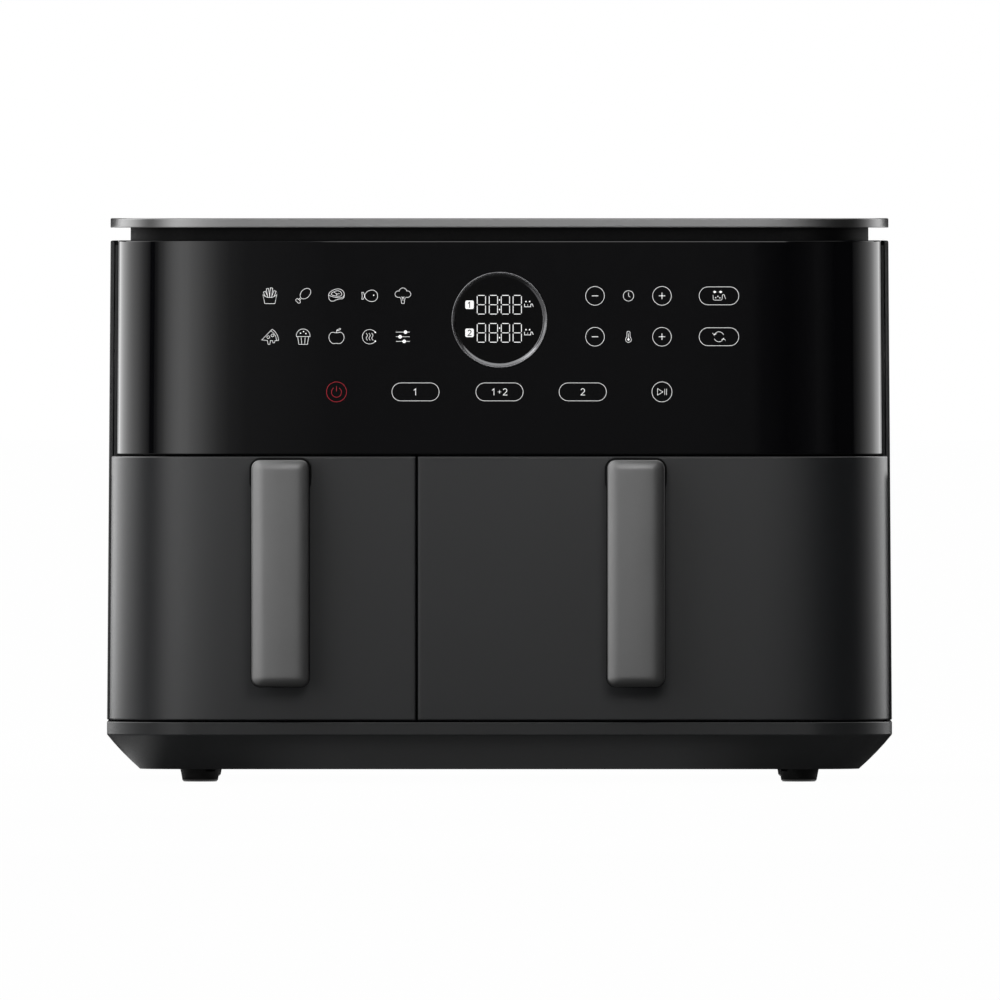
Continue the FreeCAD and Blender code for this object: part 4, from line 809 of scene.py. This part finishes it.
def apple():
    """A round apple with a dip above and a shallow one below, its stalk and a leaf."""
    def outline(t):
        u = np.where(t > np.pi, t - 2 * np.pi, t)
        dips = 1.1 * np.exp(-(u / 0.45) ** 2) - 0.6 * np.exp(-((np.abs(u) - np.pi) / 0.4) ** 2)
        return 4.1 * np.sin(u) * (1 + 0.05 * np.cos(u)), 3.7 * np.cos(u) - dips - 0.5
    leaf = wave(lambda t: (1.2 + 1.0 * np.cos(t) + 0.3 * np.sin(t),
                           3.8 + 0.5 * np.sin(t) + 0.35 * np.cos(t)), 24)
    return [loop(wave(outline)), line((0, 2.1), (0.15, 3.6)), loop(leaf)]


def reheat():
    """Three rising waves in a circle that stays open on the right."""
    rise = np.linspace(-1.9, 1.9, 20)
    waves = [line(*np.column_stack([x + 0.35 * np.sin(rise * 2.2), rise])) for x in (-1.5, 0.0, 1.5)]
    ends = [dot((3.9 * math.cos(math.radians(a)), 3.9 * math.sin(math.radians(a))), 0.42) for a in (38, -38)]
    return [line(*arc((0, 0), 3.9, 38, 322, 40))] + waves + ends


def sliders():
    """Three level bars with their knobs, for settings of one's own."""
    made = []
    for z, x in ((2.5, 1.4), (0.0, -1.5), (-2.5, 0.7)):
        made += [line((-3.7, z), (3.7, z)), dot((x, z), 0.95)]
    return made


def clock():
    """A clock face."""
    return [loop(ring(2.8)), line((0, 1.7), (0, 0), (0.95, -0.7))]


def thermometer():
    """A bulb thermometer."""
    outline = np.concatenate([arc((0, 2.1), 0.85, 0, 180, 10), arc((0, -1.5), 1.55, 123, 417, 24)])
    return [loop(outline), line((0, 1.7), (0, -1.3)), dot((0, -1.5), 0.6)]


def shake():
    """A basket with its handle under two short arrows."""
    basket = [(-3.2, 0.3), (-3.1, -1.8), (-2.6, -2.3), (1.2, -2.3), (1.7, -1.8), (1.8, 0.2), (2.2, 0.7),
              (2.8, 0.6), (3.6, -1.7)]
    food = [dot((-1.8, -1.0), 0.3), dot((-0.6, -0.3), 0.3), dot((0.5, -1.1), 0.3)]
    arrows = []
    for x in (-2.3, 0.9):
        arrows += [line((x - 0.9, 2.1), (x + 0.9, 2.1)), dot((x, 2.1), 0.62)]
    return [line(*basket)] + food + arrows


def together():
    """Two arrows that chase each other round."""
    made = []
    for start, flip in ((25, 1), (205, -1)):
        made.append(line(*arc((0, 0), 2.7, start, start + 140, 20)))
        made.append(line((-3.4 * flip, 1.9 * flip), (-2.5 * flip, 0.9 * flip), (-1.4 * flip, 1.7 * flip)))
    return made


def play_pause():
    """A start triangle beside two pause bars."""
    bars = [line((x, 1.6), (x, -1.6)) for x in (1.5, 2.5)]
    return [loop([(-2.4, 1.8), (-2.4, -1.8), (0.5, 0.0)])] + bars


def power():
    """The standby sign."""
    return [line(*arc((0, -0.2), 2.7, 125, 415, 28)), line((0, 0.3), (0, 2.9))]


def minus():
    """A minus sign."""
    return [ribbon([(-1.6, 0), (1.6, 0)], bold_stroke)]


def plus():
    """A plus sign."""
    return minus() + [ribbon([(0, -1.6), (0, 1.6)], bold_stroke)]


def numeral(number, size=1.0, width=bold_stroke):
    """Figure one or two, drawn 3.4 mm high and scaled."""
    if number == 1:
        points = np.array([(-0.8, 0.9), (0.1, 1.7), (0.1, -1.7)])
    else:
        points = np.concatenate([arc((0, 0.75), 0.98, 160, -35, 12), [(-1.0, -1.7), (1.1, -1.7)]])
    return ribbon(points * size, width)


def sum_sign():
    """One plus two."""
    cross = [line((-0.85, 0), (0.85, 0)), line((0, -0.85), (0, 0.85))]
    return at((-3.1, 0), [numeral(1)]) + cross + at((3.0, 0), [numeral(2)])


def at(place, shapes):
    """Shapes moved to a place on the panel."""
    shift = np.array([place[0], place[1], 0.0])
    return [(corners + shift, faces) for corners, faces in shapes]


def on_face(shapes, y):
    """Flat shapes stood up on a front-facing plane: Y becomes Z, and print height comes forwards."""
    return [(np.stack([c[..., 0], y - c[..., 2], c[..., 1]], axis=-1), faces) for c, faces in shapes]


def panel_symbols():
    """Every white symbol of the touch panel at its place."""
    made = []
    for x, symbol in zip(food_columns, (chips, drumstick, chop, fish, broccoli)):
        made += at((x, upper_row), symbol())
    for x, symbol in zip(food_columns, (pizza, muffin, apple, reheat, sliders)):
        made += at((x, lower_row), symbol())
    for z, middle, option in ((upper_row, clock, shake), (lower_row, thermometer, together)):
        made += at((minus_x, z), minus() + [loop(ring(small_key))])
        made += at((middle_x, z), middle())
        made += at((plus_x, z), plus() + [loop(ring(small_key))])
        made += at((option_x, z), option() + [loop(capsule(option_width, pill_height))])
    for x, sign in ((-45.4, [numeral(1)]), (0.0, sum_sign()), (45.0, [numeral(2)])):
        made += at((x, bottom_row), sign + [loop(capsule(drawer_pill_width, pill_height))])
    return made + at((plus_x, bottom_row), play_pause() + [loop(ring(large_key))])


def power_symbol():
    """The red standby key."""
    return at((food_columns[2], bottom_row), power() + [loop(ring(large_key))])


def digits():
    """Two rows of four seven-bar figures with their colons."""
    half_x, half_z, gap = 2.25, 5.05, 0.6
    halves = [(gap, half_z - gap), (-half_z + gap, -gap)]
    bars = [[(-half_x + gap, z), (half_x - gap, z)] for z in (half_z, 0, -half_z)]
    bars += [[(x, low), (x, high)] for x in (-half_x, half_x) for low, high in halves]
    figure = [ribbon(bar, digit_stroke) for bar in bars]
    colon = [dot((0, 2.6), 0.42), dot((0, -2.6), 0.42)]
    made = []
    for z in display_rows:
        for x in digit_columns:
            made += at((x, z), figure)
        made += at((0, z), colon) + at((mark_x, z + mark_rise), basket_mark())
    return made


def basket_mark():
    """Small basket under two dots, for the basket that is being shown."""
    tray = [(-2.3, 0.0), (-2.2, -1.5), (1.0, -1.5), (1.2, 0.0), (1.9, 0.0), (2.4, -1.3)]
    dots = [dot((-1.5, 1.3), 0.4), dot((0.5, 1.3), 0.4), dot((-0.6, -0.6), 0.2)]
    return [ribbon(tray, mark_stroke)] + dots


def badges():
    """Two lit squares that hold the baskets' numbers."""
    square = [filled(capsule(badge_size, badge_size, badge_corner))]
    return [part for z in display_rows for part in at((badge_x, z), square)]


def badge_numbers():
    """The baskets' numbers, dark on their lit squares."""
    made = []
    for z, number in zip(display_rows, (1, 2)):
        made += at((badge_x, z), [numeral(number, badge_scale, badge_stroke)])
    return made


# Every piece in its finish

finishes = make_finishes()
slots = {entry["node"]: entry["material_slot"] for entry in frame["record"]["subparts"]}
panel_face = front_plane + fascia_inset

piece("control_fascia_panel", "housing", "fascia_gloss", fascia(), ["control_fascia"])
piece("display_bezel", "housing", "bezel_dark", display_ring(), ["display_ring"])
piece("shell_sides_and_back", "housing", "housing_plastic", shell(), ["outer_shell"])
piece("lid_plate", "housing", "top_metallic", top_plate(), ["top_plate"])
for side, name in ((-1, "left"), (1, "right")):
    body = f"{name}_drawer"
    piece(f"{name}_drawer_face", body, "drawer_satin", drawer_front(side), [f"{name}_drawer_front"])
    piece(f"{name}_grip", body, "handle_grey", handle_cover(name), [f"{name}_handle_cover"], soft=50)

piece("panel_symbols", "housing", "print_white", on_face(panel_symbols(), panel_face))
piece("power_symbol", "housing", "print_red", on_face(power_symbol(), panel_face))
piece("display_digits", "housing", "lit_digits", on_face(digits(), lens_face))
piece("display_badges", "housing", "lit_digits", on_face(badges(), lens_face))
piece("badge_numbers", "housing", "badge_ink", on_face(badge_numbers(), lens_face - ink))


def band_edges(p):
    """The base's outer outline where its band meets the gap above and the slant below."""
    level_slack, outline_slack = 0.05, 1.5
    level = np.minimum(np.abs(p[..., 2] - band_top), np.abs(p[..., 2] - band_bottom)) < level_slack
    middle, half = (front_plane + rear_plane) / 2, (rear_plane - front_plane) / 2
    reach = np.hypot(np.maximum(np.abs(p[..., 0]) - half_width + front_radius, 0),
                     np.maximum(np.abs(p[..., 1] - middle) - half + front_radius, 0))
    return level & (reach > front_radius - outline_slack)


dressed("base_tray", "housing_plastic", band_edges)
# The deck's neck takes the finish darkened with painted shade for its recess under the lid
dressed("top_deck", "neck_painted_shade")
shown = ["rubber_feet", "base_screws", "rear_cover", "rear_cover_screws", "cord_gland", "front_frame",
         "display_lens", "drawer_runners"]
shown += [f"{side}_{part}" for side in ("left", "right") for part in (
    "chamber", "element_guard", "heating_element", "hot_fan", "drawer_liner", "handle_core", "basket",
    "crisper_plate", "plate_bumpers", "switch_plunger")]
for name in shown:
    dressed(name, slots[name])

for name, made in frame["nodes"].items():
    made.data.materials.clear()
    made.data.materials.append(finishes[slots[name]])


# Studio

def sheet(name, corners, material, seen=False):
    """A flat sheet of the studio, seen by the camera or only by the surfaces round it."""
    mesh = bpy.data.meshes.new(name)
    mesh.from_pydata(corners, [], [(0, 1, 2, 3)])
    mesh.materials.append(material)
    made = bpy.data.objects.new(name, mesh)
    bpy.context.scene.collection.objects.link(made)
    made.visible_camera = seen
    return made


def bare(name):
    """An empty material and its tree, with its output."""
    material = bpy.data.materials.new(name)
    material.use_nodes = True
    tree = material.node_tree
    tree.nodes.clear()
    return material, tree, tree.nodes.new("ShaderNodeOutputMaterial")


def glow(name, axis, levels):
    """A soft card whose light goes through levels at distances in metres along one axis."""
    material, tree, output = bare(name)
    place = node(tree, "ShaderNodeSeparateXYZ", {0: node(tree, "ShaderNodeTexCoord").outputs["Object"]})
    first, last = levels[0][0], levels[-1][0]
    share = node(tree, "ShaderNodeMapRange",
                 {"Value": place.outputs[axis], "From Min": first, "From Max": last})
    ramp = node(tree, "ShaderNodeValToRGB", {"Fac": share.outputs[0]})
    strongest = max(level for _, level in levels)
    stops = ramp.color_ramp.elements
    for _ in levels[2:]:
        stops.new(0.5)
    for stop, (distance, level) in zip(stops, levels):
        stop.position = (distance - first) / (last - first)
        stop.color = (level / strongest,) * 3 + (1.0,)
    light = node(tree, "ShaderNodeEmission", {"Color": ramp.outputs[0], "Strength": strongest})
    tree.links.new(light.outputs[0], output.inputs[0])
    return material


def matt(name, shade):
    """Plain studio cloth of one shade."""
    material, tree, output = bare(name)
    cloth = node(tree, "ShaderNodeBsdfDiffuse", {"Color": (shade, shade, shade, 1)})
    tree.links.new(cloth.outputs[0], output.inputs[0])
    return material


def floor_paint():
    """White floor that keeps a faint shadow: to the camera and to reflections most of it is plain white."""
    shade, white_share = 0.5, 0.985
    material, tree, output = bare("studio_floor")
    paint = node(tree, "ShaderNodeBsdfDiffuse", {"Color": (shade, shade, shade, 1)})
    white = node(tree, "ShaderNodeEmission", {"Strength": 1.0})
    path = node(tree, "ShaderNodeLightPath")
    seen = path.outputs["Is Camera Ray"]
    for kind in ("Is Glossy Ray", "Is Transmission Ray"):
        seen = node(tree, "ShaderNodeMath", {0: seen, 1: path.outputs[kind]}, operation="ADD").outputs[0]
    share = node(tree, "ShaderNodeMath", {0: seen, 1: white_share}, operation="MULTIPLY", use_clamp=True)
    mixed = node(tree, "ShaderNodeMixShader", {0: share.outputs[0], 1: paint.outputs[0], 2: white.outputs[0]})
    tree.links.new(mixed.outputs[0], output.inputs[0])
    return material


def upright(along, start, end, place, high, low=0.0):
    """Corners of an upright sheet that runs along X or Y, in metres."""
    ends = [(start, low), (end, low), (end, high), (start, high)]
    if along == "X":
        return [(reach, place, z) for reach, z in ends]
    return [(place, reach, z) for reach, z in ends]


def level(half, near, far, height):
    """Corners of a level sheet, in metres."""
    return [(-half, near, height), (half, near, height), (half, far, height), (-half, far, height)]


def card(name, along, place, levels, high, low=0.0):
    """An upright card that runs along X or Y from its first level of light to its last."""
    corners = upright(along, levels[0][0], levels[-1][0], place, high, low)
    sheet(name, corners, glow(name + "_light", along, levels))


def mirrored_only(made):
    """A sheet that only reflections see: it takes no light from the object and throws no shadow."""
    made.visible_diffuse = False
    made.visible_shadow = False


floor_half = 40.0
sheet("floor", level(floor_half, -floor_half, floor_half, 0.0), floor_paint(), seen=True)

# Black cloth at the sides and a dusky one in front: the dark parts of what the gloss panel mirrors
black_cloth = matt("black_studio_cloth", 0.01)
flag_height = 2.6
flag_half = 3.0
flag_front = -3.2
flag_back = 0.6
for side, name in ((-1, "left_flag"), (1, "right_flag")):
    sheet(name, upright("Y", flag_front, flag_back, side * flag_half, flag_height), black_cloth)
card("front_flag", "X", flag_front,
     [(-flag_half, 0.05), (-0.3, 0.11), (0.12, 0.105), (0.17, 0.07), (0.24, 0.03), (0.5, 0.0), (0.9, 0.03),
      (1.37, 0.075), (2.0, 0.04), (flag_half, 0.0)], flag_height)

# Mats on the floor that only reflections see: the slant of the base and the grips' lower ends mirror them
mat_height = 0.001
mat_ends = [flag_front, -0.165, -0.06, 3.0]
mat_levels = {
    "front_mat": [(-3.0, 0.3), (-0.26, 0.3), (-0.2, 0.03), (3.0, 0.02)],
    "corner_mat": [(-3.0, 0.1), (-0.24, 0.1), (-0.23, 0.3), (-0.224, 0.8), (-0.212, 0.8), (-0.204, 0.05),
                   (-0.15, 0.05), (-0.1, 0.3), (0.1, 0.3), (0.15, 0.05), (3.0, 0.02)],
    "rear_mat": [(-3.0, 0.3), (-1.0, 0.03), (1.0, 0.02), (3.0, 0.02)],
}
for near, far, (name, levels) in zip(mat_ends, mat_ends[1:], mat_levels.items()):
    mat = sheet(name, level(flag_half, near, far, mat_height), glow(name + "_shade", "X", levels))
    mirrored_only(mat)

# Narrow flags close beside the body, also only for reflections: they darken the lid's and drawers' ends
edge_flag_start = 0.2135
edge_flag_place = -0.08
lid_zone = (0.2965, 0.37)
drawer_zone = (0.0, 0.166)
edge_flags = [("left_lid_flag", -0.28, lid_zone), ("right_lid_flag", 0.27, lid_zone),
              ("left_drawer_flag", -0.222, drawer_zone), ("right_drawer_flag", 0.24, drawer_zone)]
for name, reach, (low, high) in edge_flags:
    beside = math.copysign(edge_flag_start, reach)
    mirrored_only(sheet(name, upright("X", reach, beside, edge_flag_place, high, low), black_cloth))

# Cards: the key in front on the left, a pair on each side, a fill far in front, and two overhead
card_height = 2.2
card_distance = 1.6
strip_top = 0.32  # the gloss panel mirrors the cards below this height
card("key_card", "X", -card_distance,
     [(-2.6, 0.1), (-2.24, 0.18), (-1.62, 0.7), (-1.22, 1.42), (-0.93, 1.96), (-0.74, 2.2), (-0.6, 2.07),
      (-0.43, 1.38), (-0.28, 0.53), (-0.216, 0.29), (-0.1, 0.12)], card_height)
card("left_card", "Y", -card_distance,
     [(-0.75, 0.1), (-0.4, 0.6), (-0.1, 1.2), (0.25, 1.7), (0.74, 2.4), (1.8, 3.0), (2.5, 3.0)], strip_top)
card("left_wall", "Y", -card_distance,
     [(-0.75, 0.3), (-0.4, 1.3), (-0.1, 2.2), (0.25, 2.6), (0.74, 2.8), (1.8, 2.8), (2.5, 2.8)],
     card_height, strip_top)
card("right_card", "Y", card_distance,
     [(-0.54, 0.05), (-0.25, 0.3), (0.07, 0.75), (0.47, 1.35), (1.0, 2.2), (2.5, 2.4)], strip_top)
card("right_wall", "Y", card_distance,
     [(-0.54, 0.0), (-0.15, 0.05), (0.07, 0.6), (0.47, 1.9), (1.0, 2.8), (2.5, 2.8)], card_height, strip_top)
fill_low, fill_high = 0.35, 1.15
sheet("fill_card", upright("X", -0.9, 0.5, -3.1, fill_high, fill_low),
      glow("fill_card_light", "Z", [(fill_low, 0.0), (0.55, 4.3), (0.95, 4.3), (fill_high, 0.0)]))
sheet("top_card", level(1.2, -1.6, 1.2, 2.6),
      glow("top_card_light", "Y", [(-1.6, 0.7), (-1.0, 1.1), (1.2, 1.1)]))
sheet("high_left_card", [(-1.9, -0.8, 1.1), (-1.9, 0.4, 1.1), (-1.0, 0.4, 2.2), (-1.0, -0.8, 2.2)],
      glow("high_left_card_light", "Z", [(1.1, 2.0), (1.6, 3.5), (2.2, 2.0)]))

world = bpy.data.worlds.new("white_room")
world.use_nodes = True
world.node_tree.nodes["Background"].inputs["Color"].default_value = (1, 1, 1, 1)
bpy.context.scene.world = world
bpy.context.scene.view_settings.view_transform = "Standard"


# Camera: square to the front, far back with a long lens

sensor = 36.0
frame_width = 541.4  # width of the picture at the body's silhouette
silhouette_plane = -115.0
aim_x, aim_z = 0.27, 152.4  # middle of the picture
camera_distance = 25000.0
camera_height = 300.0  # level with the lid, which shows neither face
camera = bpy.data.objects.new("camera", bpy.data.cameras.new("camera"))
camera.data.sensor_width = sensor
camera.data.lens = sensor * camera_distance / frame_width
camera.data.clip_end = 1000.0  # metres
aim = np.array([aim_x, silhouette_plane, aim_z])
camera_tilt = math.asin((camera_height - aim_z) / camera_distance)
outward = np.array([0, -math.cos(camera_tilt), math.sin(camera_tilt)])
camera.location = (aim + camera_distance * outward) * mm
camera.rotation_euler = (math.radians(90) - camera_tilt, 0, 0)
bpy.context.scene.collection.objects.link(camera)
bpy.context.scene.camera = camera
